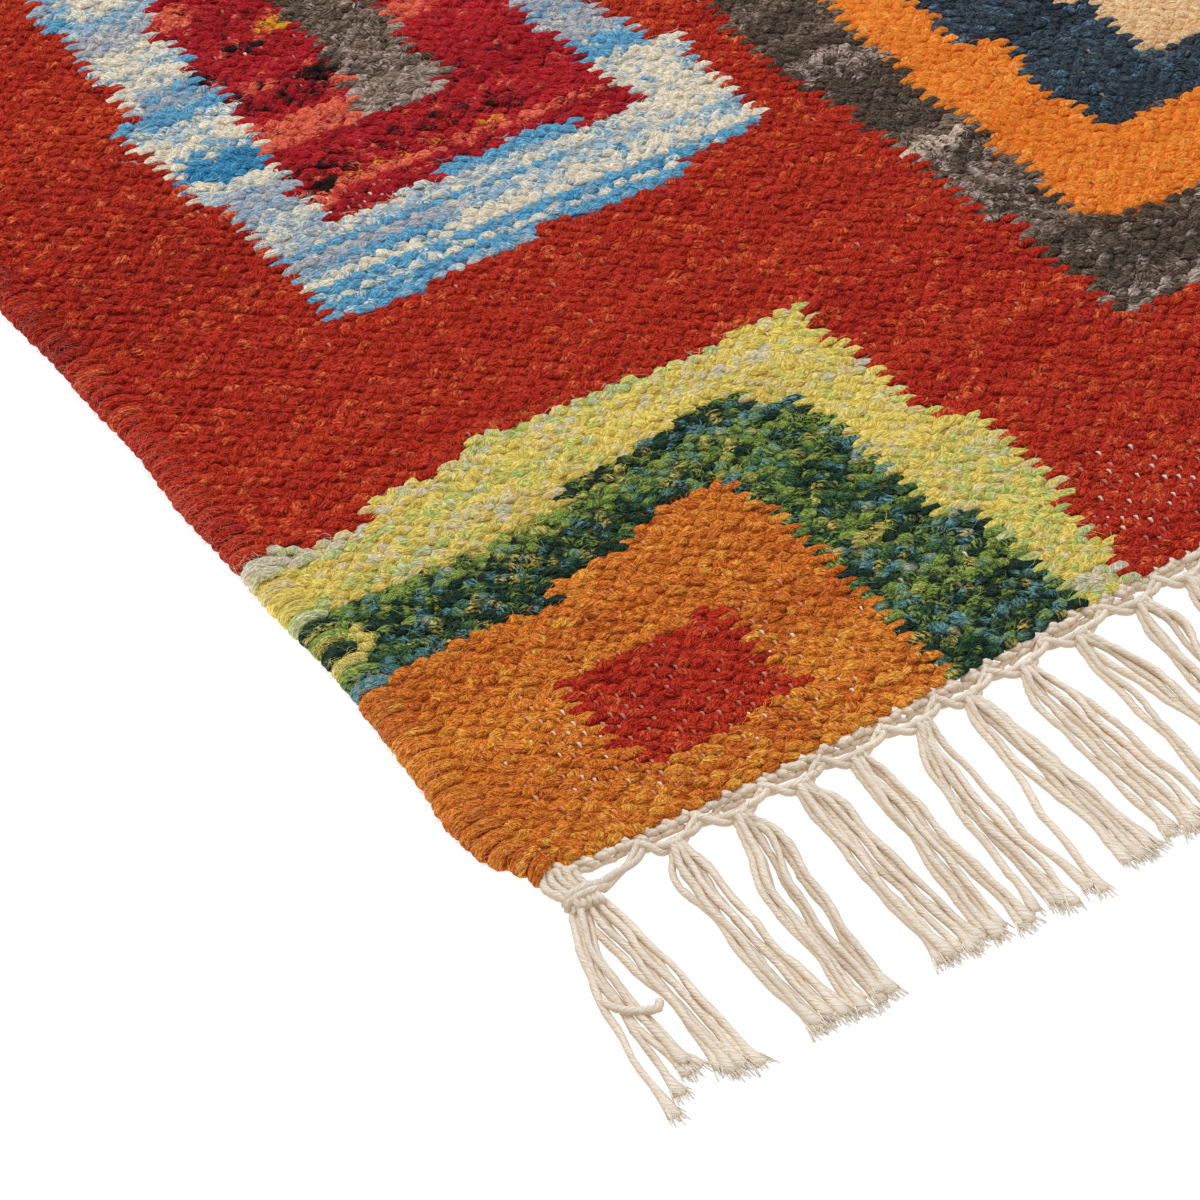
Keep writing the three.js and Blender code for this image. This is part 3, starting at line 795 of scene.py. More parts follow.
def wool_material():
    """Hand-spun wool: two plies in slanted streaks of bright and dark fibres, partly painted light and shade.
    """
    material, tree = new_material("wool_yarn")
    first = node(tree, "ShaderNodeAttribute", attribute_name="ply_a")
    ply_a, coarse = first.outputs["Color"], first.outputs["Alpha"]
    ply_b = node(tree, "ShaderNodeAttribute", attribute_name="ply_b").outputs["Color"]
    strands = noise(tree, yarn_place(tree, WOOL_SLANT, 0.6, 1.9, 0.0), 1.0, 2.0, 0.6, 0.5)
    fibres = noise(tree, yarn_place(tree, WOOL_SLANT, 1.1, 3.0, 31.0), 1.0, 1.0)
    mixing = noise(tree, yarn_place(tree, WOOL_SLANT, 0.8, 1.5, 67.0), 1.0, 1.0)
    plies = mixed(tree, ramp(tree, mixing, 0.44, 0.58), ply_a, ply_b)
    both = math_node(tree, "ADD", times(tree, strands, 0.6), times(tree, fibres, 0.5))
    height = times(tree, math_node(tree, "SUBTRACT", both, 0.55), coarse)
    # Painted shade darkens the colour where the fibres lie low, a painted highlight pales it where they stand
    # high
    fibre_shade = scaled(tree, curved(tree, plies, 1.3), 0.78)
    fibre_highlight = scaled(tree, curved(tree, plies, 0.8), 1.34)
    colour = mixed(tree, ramp(tree, height, -0.07, 0.0), fibre_shade, plies)
    colour = mixed(tree, ramp(tree, height, 0.0, 0.08), colour, fibre_highlight)
    # tufts and loose fibres take the painted highlight too
    tufts = times(tree, ramp(tree, mixing, 0.56, 0.64), ramp(tree, fibres, 0.5, 0.6))
    long_hairs, short_hairs = crossing_fibres(tree, 420, 8, 0.14), crossing_fibres(tree, 760, 6, 0.18)
    loose = math_node(tree, "MAXIMUM", long_hairs, short_hairs)
    loose = times(tree, loose, times(tree, math_node(tree, "POWER", coarse, 3.0), 0.4))
    colour = mixed(tree, math_node(tree, "MAXIMUM", loose, tufts), colour, fibre_highlight)
    # Painted light: steep sides are lightened, the more so the less coarse the yarn, as wool lets light
    # through
    painted_side_light = times(tree, steepness(tree), math_node(tree, "SUBTRACT", 1.5, coarse))
    light = math_node(tree, "ADD", times(tree, painted_side_light, 0.5), 1.0)
    colour = node(tree, "ShaderNodeVectorMath", {0: colour, "Scale": light}, operation="SCALE").outputs[0]
    finish_material(tree, colour, height, bump=1.0, distance=0.0016, roughness=0.95, sheen=0.02)
    return material


def cotton_material():
    """Unbleached cotton cord, its twisted plies as slanted grooves, with painted shade and a painted warm
    glow.
    """
    material, tree = new_material("cotton_cord")
    first = node(tree, "ShaderNodeAttribute", attribute_name="ply_a")
    ply_a, shaded = first.outputs["Color"], first.outputs["Alpha"]
    fibres = noise(tree, yarn_place(tree, CORD_SLANT, 0.4, 3.4, 0.0), 1.0, 2.0)
    slow = noise(tree, yarn_place(tree, 0.0, 0.35, 0.35, 9.0), 1.0, 1.0)
    turn = times(tree, yarn_slant(tree, CORD_SLANT), 2 * math.pi / PLY_SPACING)
    turn = math_node(tree, "ADD", turn, times(tree, slow, 5.0))
    groove = ramp(tree, math_node(tree, "SINE", turn), -1.0, 0.3)
    height = math_node(tree, "ADD", times(tree, groove, 0.17), times(tree, fibres, 0.8))
    # clear is where the cord has no painted shade: the tint darkens and warms it in the grooves and on its
    # sides
    clear = times(tree, ramp(tree, groove, 0.0, 1.0, 0.78, 1.0), ramp(tree, fibres, 0.3, 0.6, 0.3, 1.0))
    clear = times(tree, clear, ramp(tree, steepness(tree), 0.0, 1.2, 1.0, 0.15))
    clear = math_node(tree, "MAXIMUM", clear, math_node(tree, "SUBTRACT", 1.0, shaded))
    tint = mixed(tree, clear, (0.77, 0.63, 0.48, 1.0), (1.15, 1.15, 1.15, 1.0))
    colour = mixed(tree, 1.0, ply_a, tint, "MULTIPLY")
    # A faint warm glow, painted light that warms the cord's shade, as cotton lets light through
    glow = (0.050, 0.031, 0.015, 1.0)
    finish_material(tree, colour, height, bump=0.8, distance=0.0006, roughness=0.9, sheen=0.04, glow=glow)
    return material


WOOL = wool_material()
COTTON_CORD = cotton_material()


# The cloth under its stitches
def ground_cloth():
    """The body of the cloth, coloured below as the weave is and darker above, with painted shade between the
    stitches.
    """
    near, inset = GROUND_STEPS["near"], GROUND["inset"]
    across = np.arange(0, WARPS + 1, GROUND_STEPS["warps"])
    along = np.concatenate([np.arange(0, near, GROUND_STEPS["near_picks"]),
                            np.arange(near, PICKS, GROUND_STEPS["far_picks"]), [PICKS]])
    x = -WIDTH / 2 + inset + (WIDTH - 2 * inset) * across / WARPS
    y = -LENGTH / 2 + inset + (LENGTH - 2 * inset) * along / PICKS
    columns, rows = len(x), len(y)
    layers = []
    for z, pull in ((0.0, GROUND["pull"]), (GROUND["top"], 0.0)):
        grid = np.stack(np.meshgrid(x, y, indexing="ij") + [np.full((columns, rows), z)], axis=-1)
        grid[0, :, 0] += pull
        grid[-1, :, 0] -= pull
        grid[:, 0, 1] += pull
        grid[:, -1, 1] -= pull
        layers.append(settled(grid))
    points = np.concatenate([layer.reshape(-1, 3) for layer in layers])
    number = np.arange(columns * rows).reshape(columns, rows)
    a, b = number[:-1, :-1].ravel(), number[1:, :-1].ravel()
    c, d = number[1:, 1:].ravel(), number[:-1, 1:].ravel()
    top = columns * rows
    under = np.stack([a, d, c, b], axis=1)
    above = np.stack([a, b, c, d], axis=1) + top
    rim = np.concatenate([number[:, 0], number[-1, 1:], number[-2::-1, -1], number[0, -2:0:-1]])
    following = np.roll(rim, -1)
    walls = np.stack([rim, following, following + top, rim + top], axis=1)
    faces = np.concatenate([under, above, walls])
    cells = np.ix_(np.minimum(across, WARPS - 1), np.minimum(along, PICKS - 1))
    plies = [ply[cells].reshape(-1, 4) for ply in (PLY_A, PLY_B)]
    # the top takes painted shade: its colours are raised to the power darker, as it lies in the stitches'
    # shade
    shaded = [np.concatenate([ply, ply ** GROUND["darker"]])[None] for ply in plies]
    return one_pile("ground_cloth", WOOL, points[None], faces, *shaded, points[None, :, :2] / MM)


# Stitches
def stitch_sites():
    """Warp and pick of every stitch that shows on the top face, past the selvedge turns."""
    warp, pick = crossings((SELVEDGE_WARPS, WARPS - SELVEDGE_WARPS))
    shows = (warp + pick) % 2 == 0
    return warp[shows], pick[shows]


def turn_reaches(warp, pick):
    """How far each stitch reaches to the left and right, where its yarn turns back at a colour change."""
    here = YARN_OF[warp, pick]
    left = np.where(YARN_OF[np.maximum(warp - 1, 0), pick] != here, TURNED["reach"], 0.0)
    right = np.where(YARN_OF[np.minimum(warp + 1, WARPS - 1), pick] != here, TURNED["reach"], 0.0)
    return left, right


def camera_axes():
    """The camera's directions ahead, to its right and upwards."""
    down, turn = math.radians(CAMERA["down"]), math.radians(CAMERA["turn"])
    ahead = (math.sin(turn) * math.cos(down), math.cos(turn) * math.cos(down), -math.sin(down))
    right = (math.cos(turn), -math.sin(turn), 0.0)
    rise = (math.sin(turn) * math.sin(down), math.cos(turn) * math.sin(down), math.cos(down))
    return ahead, right, rise


def in_frame(x, y, margin=FRAME_MARGIN):
    """Which places on the cloth lie inside the photograph, so that they are modelled finely."""
    dx, dy, dz = x - CAMERA["x"], y - CAMERA["y"], THICKNESS - CAMERA["z"]
    depth, across, above = (dx * axis[0] + dy * axis[1] + dz * axis[2] for axis in camera_axes())
    half = (0.5 + margin) * SENSOR / CAMERA["lens"]
    return (np.abs(across / depth) < half) & (np.abs(above / depth) < half)


def stitch_frames(warp, pick):
    """The middle of each stitch, the way it is turned and its size, in thick and thin stretches of yarn."""
    count = len(warp)
    centre = np.stack([warp_x(warp), pick_y(pick), np.zeros(count)], axis=-1)
    centre[:, 0] += stray(STITCH_STRAY["across"], count)
    centre[:, 1] += stray(STITCH_STRAY["along"], count)
    yaw = STITCH_YAW + stray(STITCH_STRAY["yaw"], count)
    spun = np.sin(warp / 4.3 + 9 * np.sin(pick * 7.7)) * np.sin(warp / 9.1 + pick * 1.9)
    size = 1 + stray(STITCH_STRAY["size"], count) + STITCH_STRAY["spun"] * spun
    return centre, yaw, size


def turned_about(places, angle):
    cos, sin = np.cos(angle)[:, None], np.sin(angle)[:, None]
    u, v = places[..., 0], places[..., 1]
    return np.stack([u * cos - v * sin, u * sin + v * cos], axis=-1)


def fine_stitches(name, warp, pick):
    """Plump stitches that rise over their warp and dive under the next ones."""
    count = len(warp)
    centre, yaw, size = stitch_frames(warp, pick)
    left, right = turn_reaches(warp, pick)
    turned = (left + right) > 0
    half = STITCH["length"] / 2
    t = STITCH_STATIONS[None, :]
    reach = np.where(t < 0, (half + left)[:, None], (half + right)[:, None])
    along = t * reach * size[:, None]
    arch = np.cos(t * math.pi / 2) ** ARCH_POWER
    high = STITCH["high"] + stray(STITCH_STRAY["high"], count) + np.where(turned, TURNED["higher"], 0.0)
    z = STITCH["low"] + (high[:, None] - STITCH["low"]) * arch
    bend = stray(STITCH_STRAY["bend"], count)[:, None] * (1 - t**2)
    places = turned_about(np.stack([along, bend], axis=-1), yaw)
    places[..., 1] += curled(left, right, t)
    paths = settled(np.concatenate([places + centre[:, None, :2], z[..., None]], axis=-1))
    plump = np.sqrt(1 - np.abs(t) ** PLUMP_POWER)
    blunt = ((t < -0.5) & (left > 0)[:, None]) | ((t > 0.5) & (right > 0)[:, None])
    plump = np.where(blunt, TURNED["blunt"][0] + TURNED["blunt"][1] * plump, plump)
    width = np.where(turned, TURNED["narrower"], 1.0)[:, None] * size[:, None] * STITCH["width"] / 2
    width = width * (1 + stray(STITCH_STRAY["width"], count, len(STITCH_STATIONS)))
    beside = np.stack([-np.sin(yaw), np.cos(yaw), np.zeros(count)], axis=-1)[:, None, :]
    points, faces, uv = tubes(paths, width * plump, STITCH["thick"] / 2 * plump, STITCH_ANGLES, beside)
    points = points + stray(STITCH_STRAY["skin"], *points.shape)
    lay = np.radians([YARNS[name]["lay"] for name in YARN_NAMES])[YARN_OF[warp, pick]]
    uv = turned_about(uv, lay + stray(LAY_SPREAD, count))
    plies = (shaded_halves(ply, warp, pick) for ply in (PLY_A, PLY_B))
    return one_pile(name, WOOL, points, faces, *plies, uv + some_place(count))


def curled(left, right, t):
    """How far the end of a stitch that turns back is curled towards the near end."""
    to_right = (right > 0)[:, None] * (t > 0) * t**2
    to_left = (left > 0)[:, None] * (t < 0) * t**2
    return -TURNED["curl_right"] * to_right - TURNED["curl_left"] * to_left


def shaded_halves(ply, warp, pick):
    """A ply's colours at the points of each fine stitch, the right half those of the next hidden stitch."""
    beside = np.minimum(warp + 1, WARPS - 1)
    same = (YARN_OF[beside, pick] == YARN_OF[warp, pick])[:, None]
    left, right = ply[warp, pick], np.where(same, ply[beside, pick], ply[warp, pick])
    half = 1 + len(STITCH_STATIONS) // 2 * len(STITCH_ANGLES)
    return np.repeat(np.stack([left, right], axis=1), half, axis=1)


def painted_lighter(colour):
    """The colour of a stitch with few faces, painted lighter the coarser its yarn, against its darker
    shading.
    """
    # painted light: the colour is lifted to make up for the shade that few faces catch
    light = FEW_FACE_LIGHT["all"] + FEW_FACE_LIGHT["coarse"] * colour[:, 3:]
    return np.concatenate([np.minimum(colour[:, :3] * light, 1.0), colour[:, 3:]], axis=1)


def coarse_stitches(name, warp, pick):
    """The same stitches with the fewest faces, where the photograph doesn't reach."""
    centre, yaw, size = stitch_frames(warp, pick)
    left, right = turn_reaches(warp, pick)
    half = STITCH["length"] / 2 * size
    wide = STITCH["width"] / 2 * size
    low, top = STITCH["low"], STITCH["high"] + STITCH["thick"] * RIDGE
    corners = ((-(half + left), 0.0, low), (0.0, -wide, top), (half + right, 0.0, low), (0.0, wide, top))
    points = np.stack([np.stack(np.broadcast_arrays(*corner), axis=-1) for corner in corners], axis=1)
    uv = points[..., :2] / MM + some_place(len(warp))
    points[..., :2] = turned_about(points[..., :2], yaw) + centre[:, None, :2]
    plies = (painted_lighter(ply[warp, pick]) for ply in (PLY_A, PLY_B))
    return one_pile(name, WOOL, settled(points), FEW_FACES, *plies, uv)


def selvedge_turns(name, side):
    """Every second pick wraps the outer warps as a pair of soft strands."""
    turn = np.arange(PICKS // 2)
    y0 = (2 * turn + 0.5) * PICK_PITCH
    count = len(turn)
    from_corner = np.minimum(y0, LENGTH - y0)
    lean = np.where(y0 < LENGTH / 2, 1, -1) * TURN_LEAN["high"] * np.exp(-from_corner / TURN_LEAN["spread"])
    controls = np.array(TURN_CONTROLS) * MM
    inner, steps = controls[0, 0], len(controls)
    warp = np.full(count, 1 if side < 0 else WARPS - 2)
    pick = np.minimum(2 * turn + 1, PICKS - 1)
    seen = in_frame(np.full(count, side * WIDTH / 2), y0 - LENGTH / 2, SELVEDGE_MARGIN)
    pile = Pile()
    for strand in (-1, 1):
        inside = controls[None, :, 0] + stray(TURN_STRAY["inside"], count, 1) * (controls[None, :, 0] / inner)
        inside = inside + stray(TURN_STRAY["inner_end"], count, 1) * (np.arange(steps) == 0)
        swing = inside / inner - 0.5
        y = y0 - LENGTH / 2 + strand * TURN_APART + stray(TURN_STRAY["along"], count)
        y = y[:, None] + lean[:, None] * swing
        y = y - TURN_LEAN["tug"] * np.clip(swing, 0, 1) + stray(TURN_STRAY["path"], count, steps)
        z = controls[None, :, 1] + stray(TURN_STRAY["high"], count, 1)
        controls_at = settled(np.stack([side * (WIDTH / 2 - inside), y, z], axis=-1))
        radius = controls[None, :, 2] * (1 + stray(TURN_STRAY["radius"], count, 1))
        second = PLY_B if strand < 0 else PLY_A
        for chosen, (stations, sides) in ((seen, SEEN_TURN), (~seen, OTHER_TURN)):
            if not chosen.any():
                continue
            paths = smooth_path(controls_at[chosen], stations)
            at = np.linspace(0, steps - 1, stations)
            thick = np.stack([np.interp(at, np.arange(steps), row) for row in radius[chosen]])
            lobes = 1 + stray(TURN_STRAY["skin"], len(paths), stations, sides)
            wide, high = (thick * share for share in TURN_SECTION)
            points, faces, uv = tubes(paths, wide, high, even_angles(sides), (0, side, 0), lobes)
            # Painted sheen: the turns' colours are paled, as their fuzz catches the light
            sheened = (ply[warp, pick][chosen] ** TURN_SHEEN for ply in (PLY_A, second))
            pile.add(points, faces, *sheened, uv + some_place(len(paths)))
    return pile.build(name, WOOL)


def warp_specks():
    """Specks of the cotton warp where the weft leaves a little gap, most of them near the corner."""
    warp, pick = crossings((SELVEDGE_WARPS + 2, WARPS // 2), (2, PICKS // 2))
    hidden = ((warp + pick) % 2 == 1) & in_frame(warp_x(warp), pick_y(pick))
    warp, pick = warp[hidden], pick[hidden]
    openness = np.zeros(len(warp))
    for at_warp, at_pick, warps, picks, most in OPEN_WEAVE:
        openness = openness + most * hump(warp - at_warp, warps) * hump(pick - at_pick, picks)
    chosen = RANDOM.random(len(warp)) < SPECK["elsewhere"] + openness
    warp, pick, openness = warp[chosen], pick[chosen], openness[chosen]
    count = len(warp)
    centre = np.stack([warp_x(warp), pick_y(pick), np.full(count, SPECK["high"])], axis=-1)
    centre += stray(SPECK["stray"], *centre.shape)
    paths = np.repeat(centre[:, None, :], 3, axis=1)
    paths[..., 1] += np.array([-SPECK["half"], 0.0, SPECK["half"]])
    paths[..., 2] += np.array([-SPECK["arch"], SPECK["arch"], -SPECK["arch"]])
    radius = RANDOM.uniform(SPECK["thin"], SPECK["thick"], (count, 1)) * np.array([0.7, 1.0, 0.7])
    points, faces, uv = tubes(settled(paths), radius, radius, even_angles(4), (1, 0, 0))
    clear = RANDOM.random(count) < SPECK["clear"] * openness
    clear &= (YARN_OF[warp, pick] != YARN_NAMES.index("red")) | (warp > WARPS // 4)
    veil = np.where(clear, RANDOM.uniform(*CLEAR_VEIL, count), RANDOM.uniform(*WOOLLY_VEIL, count))[:, None]
    colour = COTTON[None, :] * (1 - veil) + PLY_A[warp, pick] * veil
    return one_pile("warp_specks", COTTON_CORD, points, faces, colour, colour, 0 * uv)


# Cotton fringe
def band_point(across, outside, z, end):
    """A point outside the end of the cloth. end is -1 for the near end and 1 for the far one."""
    x = across - WIDTH / 2
    y = end_in(across) - LENGTH / 2 - outside
    return np.stack(np.broadcast_arrays(-end * x, -end * y, z), axis=-1)


def fringe_ties():
    pitch = (WIDTH - 2 * FIRST_TASSEL) / (TASSELS - 1)
    between = [FIRST_TASSEL + i * pitch + TIE_WANDER[i % len(TIE_WANDER)] for i in range(TASSELS)]
    return np.array([CORNER_TASSEL, *between, WIDTH - CORNER_TASSEL])


TIES = fringe_ties()


def add_cords(pile, paths, radius, sides, tint=CORD_TINT, lobes=1.0, shaded=1.0, fan=1.0):
    """Cords along paths.

    shaded is how much their sides are darkened with painted shade, and fan how much wider they are than high.
    """
    points, faces, uv = tubes(paths, radius, radius * fan, even_angles(sides, math.pi), (0, 0, 1), lobes)
    uv = uv + some_place(len(paths), CORD_MM)
    colours = COTTON[None, :] * (1 + stray(tint, len(paths), 1))
    # painted light: cords without painted shade on their sides, the wisps, are coloured lighter
    colours[:, :3] *= 1 + WISP_LIGHT * (1 - shaded)
    colours[:, 3] = shaded
    pile.add(points, faces, colours, colours, uv)


def cords_along(pile, controls, stations, sides, radius=CORD_RADIUS, flare=0.0):
    """Plied cords through control points, which sway a little and are thicker in some places."""
    paths = smooth_path(controls, stations)
    lengths = path_lengths(paths)
    wave = RANDOM.uniform(0, 2 * math.pi, (len(paths), 3, 1))

    def waving(long, phase):
        return np.sin(lengths / long + wave[:, phase])

    sway = [waving(0.0041, 0) + waving(0.0023, 1), waving(0.0052, 1), 0.6 * waving(0.0035, 2)]
    growing = np.minimum(lengths / SWAY["full_from"], 1)[..., None]
    paths = paths + SWAY["high"] * np.stack(sway, axis=-1) * growing
    swell = 1 + 0.06 * waving(0.0031, 2) + 0.08 * waving(0.0083, 0)
    fan = 1 + flare * hump(lengths - lengths[:, -1:], FLARE_SPREAD)
    lobes = 1 + stray(CORD_SKIN, len(paths), stations, sides)
    add_cords(pile, paths, radius * swell, sides, lobes=lobes, fan=fan)
    return paths


def ropes_along(pile, controls, stations, sides, turns):
    """Pairs of cords twisted about paths through control points."""
    centre = smooth_path(controls, stations)
    _, side, up = frames(centre, (0, 0, 1))
    start = RANDOM.uniform(-ROPE["start"], ROPE["start"], (len(centre), 1))
    angle = start + 2 * math.pi * turns * np.linspace(0, 1, stations)[None, :]
    for strand in (math.pi / 2, -math.pi / 2):
        around = np.cos(angle + strand)[..., None] * side + np.sin(angle + strand)[..., None] * up
        add_cords(pile, centre + ROPE["apart"] * around, ROPE["radius"], sides)


def twined_band(pile, end, sides):
    """Pairs of warps, each turned along the edge over the next pairs, seen as slanted beads."""
    pairs = np.arange(3, WARPS - 3, 2)
    count = len(pairs)
    for along, out, high, half, slant, radius in BAND_BEADS:
        across = FIRST_WARP + pairs * WARP_PITCH + along * MM + stray(BEAD_STRAY["across"], count)
        outward = out * MM + stray(BEAD_STRAY["out"], count)
        angle = math.radians(slant) + stray(BEAD_STRAY["slant"], count)
        t = BEAD_STATIONS[None, :] * half * MM * (1 + stray(BEAD_STRAY["length"], count, 1))
        x = across[:, None] + t * np.cos(angle)[:, None]
        x = np.clip(x, BEAD_ENDS["inset"], WIDTH - BEAD_ENDS["inset"])
        height = high * MM + stray(BEAD_STRAY["high"], count, 1)
        height = height - BEAD_ENDS["sag"] * (t / (half * MM)) ** 2
        paths = band_point(x, outward[:, None] - t * np.sin(angle)[:, None], height, end)
        taper = np.sqrt(1 - BEAD_STATIONS**2 * BEAD_ENDS["thinner"])[None, :]
        add_cords(pile, paths, radius * MM * taper * (1 + stray(BEAD_STRAY["radius"], count, 1)), sides)


def scallops(pile, end, sides, stations):
    """Twisted pairs that leave the band between two ties and run to the ties on both sides.

    Their control points are given as the place along the edge, how far out of it, and the height.
    """
    left, right = TIES[:-1], TIES[1:]
    gap = right - left
    share = np.full(len(gap), 0.46)
    share[0], share[-1] = 0.70, 0.30
    knot = left + share * gap + stray(0.0003, len(gap))
    corner_left, corner_right = np.zeros(len(gap)), np.zeros(len(gap))
    corner_left[0] = corner_right[-1] = 1
    down = (
        (knot - 0.0004, 0.0018, 0.0029),
        (knot + 0.0026 * np.minimum(gap / 0.0145, 1), 0.0034, 0.0024),
        (right - 0.0022 - 0.0048 * corner_right, 0.0051 + 0.0015 * corner_right, 0.0025),
        (right + 0.0012 - 0.0052 * corner_right, 0.0051 + 0.0028 * corner_right, 0.0033),
    )
    rise = (
        (left - 0.0008 + 0.0048 * corner_left, 0.0055 + 0.0024 * corner_left, 0.0028),
        (left + 0.0028 + 0.0048 * corner_left, 0.0046 + 0.0018 * corner_left, 0.0025),
        (knot - 0.0022, 0.0038 + 0.0008 * corner_left, 0.0024),
        (knot + 0.0014, 0.0019, 0.0029),
    )
    for controls, turns in ((down, 0.9), (rise, 0.6)):
        points = np.stack([band_point(*control, end) for control in controls], axis=1)
        ropes_along(pile, points, stations, sides, turns)


def tassel_controls(bunches, across, mirror, root, end):
    """Control points of a tassel's cords, from under its tie to their ends on the floor or on each other."""
    root_out, root_width = root
    total = sum(bunch[0] for bunch in bunches)
    controls = []
    number = 0
    for cords, sides, first_width, last_width, *further in bunches:
        widths = np.interp(BUNCH_OUTS, (BUNCH_OUTS[0], BUNCH_OUTS[-1]), (first_width, last_width)) * MM
        for cord in range(cords):
            place = (cord + 0.5) / cords - 0.5
            at_root = ((number + 0.5) / total - 0.5) * root_width
            side = np.array(sides) * MM + place * widths + stray(LYING["stray"], len(sides))
            overlap = np.maximum((2 * CORD_RADIUS) ** 2 - (widths / cords) ** 2, 0)
            lift = np.sqrt(overlap) * (cord % 2) if cords > 1 else 0
            height = CORD_RADIUS * LYING["rest"] + lift * np.array(LYING["lifted"])
            out = np.array(BUNCH_OUTS) * MM + (FRINGE_REACH - BUNCH_OUTS[-1] * MM)
            out[-1] += RANDOM.normal(0, LYING["cut_stray"]) + sum(further) * MM
            layer = LYING["layers"][number % 2]
            all_side = across + mirror * np.concatenate(([at_root * LYING["gathered"], at_root], side))
            all_out = np.concatenate(([root_out - LYING["under"], root_out + LYING["under"]], out))
            all_height = np.concatenate(([high + layer for high in LYING["tied_high"]], height))
            controls.append(band_point(all_side, all_out, all_height, end))
            number += 1
    return np.array(controls)


def corner_cords(pile, rows, across, mirror, end, stations, radius=CORD_RADIUS):
    """Cords through rows of points in mm: to the side of the corner's tie, outwards and height."""
    rows = np.array(rows) * MM
    controls = band_point(across + mirror * rows[..., 0], rows[..., 1], rows[..., 2], end)
    cords_along(pile, controls, stations, 8, radius)


def corner_bundle(pile, *corner):
    """Cords that gather the band's end and run into the corner tassel, and the cords round and across it."""
    rows = []
    for place in (-1, -0.5, 0, 0.5, 1):
        lift = 0.9 * (1 - abs(place))
        rows.append([(3.0 * place - 0.7, 0.8, 2.9), (3.3 * place - 1.4, 3.9, 2.5 + lift),
                     (3.1 * place - 0.9, 6.8, 2.4 + lift), (2.5 * place + 0.2, 9.6, 2.4)])
    corner_cords(pile, rows, *corner, 16, 0.00085)
    corner_cords(pile, CORNER_WRAP, *corner, 14, 0.0008)
    corner_cords(pile, [CORNER_CROSSING], *corner, 20)


def fringe(name, end):
    fine = end < 0
    pile = Pile()
    twined_band(pile, end, 6 if fine else 5)
    scallops(pile, end, 6, 12 if fine else 7)
    ends = []
    for index, across in enumerate(TIES):
        near = fine and across < FINE_FRINGE
        if index in (0, len(TIES) - 1):
            mirror = 1 if index == 0 else -1
            controls = tassel_controls(CORNER_BUNCHES, across, mirror, CORNER_ROOT, end)
            corner_bundle(pile, across, mirror, end)
        else:
            cycle, shape = divmod(index - 1, len(TASSEL_BUNCHES))
            mirror = -1 if cycle % 2 else 1
            controls = tassel_controls(TASSEL_BUNCHES[shape], across, mirror, TASSEL_ROOT, end)
        paths = cords_along(pile, controls, *(FINE_CUT if near else PLAIN_CUT), flare=CORD_FLARE)
        if near:
            ends.append(paths[:, -5:])
    if ends:
        frayed_ends(pile, np.concatenate(ends))
    return pile.build(name, COTTON_CORD)


def frayed_ends(pile, paths):
    """Wisps that stand out of the blunt brush of each cut cord."""
    tips, directions = paths[:, -1], unit(paths[:, -1] - paths[:, 0])
    beside = unit(np.cross(directions, (0, 0, 1)))
    count = len(tips)
    for _ in range(WISPS):
        across = RANDOM.uniform(-1, 1, (count, 1))
        start = tips - directions * WISP["back"] + beside * across * WISP["beside"]
        start[:, 2] += stray(WISP["high"], count)
        heading = unit(directions + beside * across * WISP["fan"] + stray(WISP["stray"], count, 3))
        length = RANDOM.uniform(*WISP_LENGTH, (count, 1))
        t = np.linspace(0, 1, len(WISP_TAPER))[None, :, None]
        wisp = start[:, None] + (heading * length)[:, None] * t
        wisp[..., 2] = np.maximum(wisp[..., 2], WISP["low"])
        add_cords(pile, wisp, WISP["radius"] * np.array(WISP_TAPER)[None, :], 3, WISP["tint"], shaded=0.0)


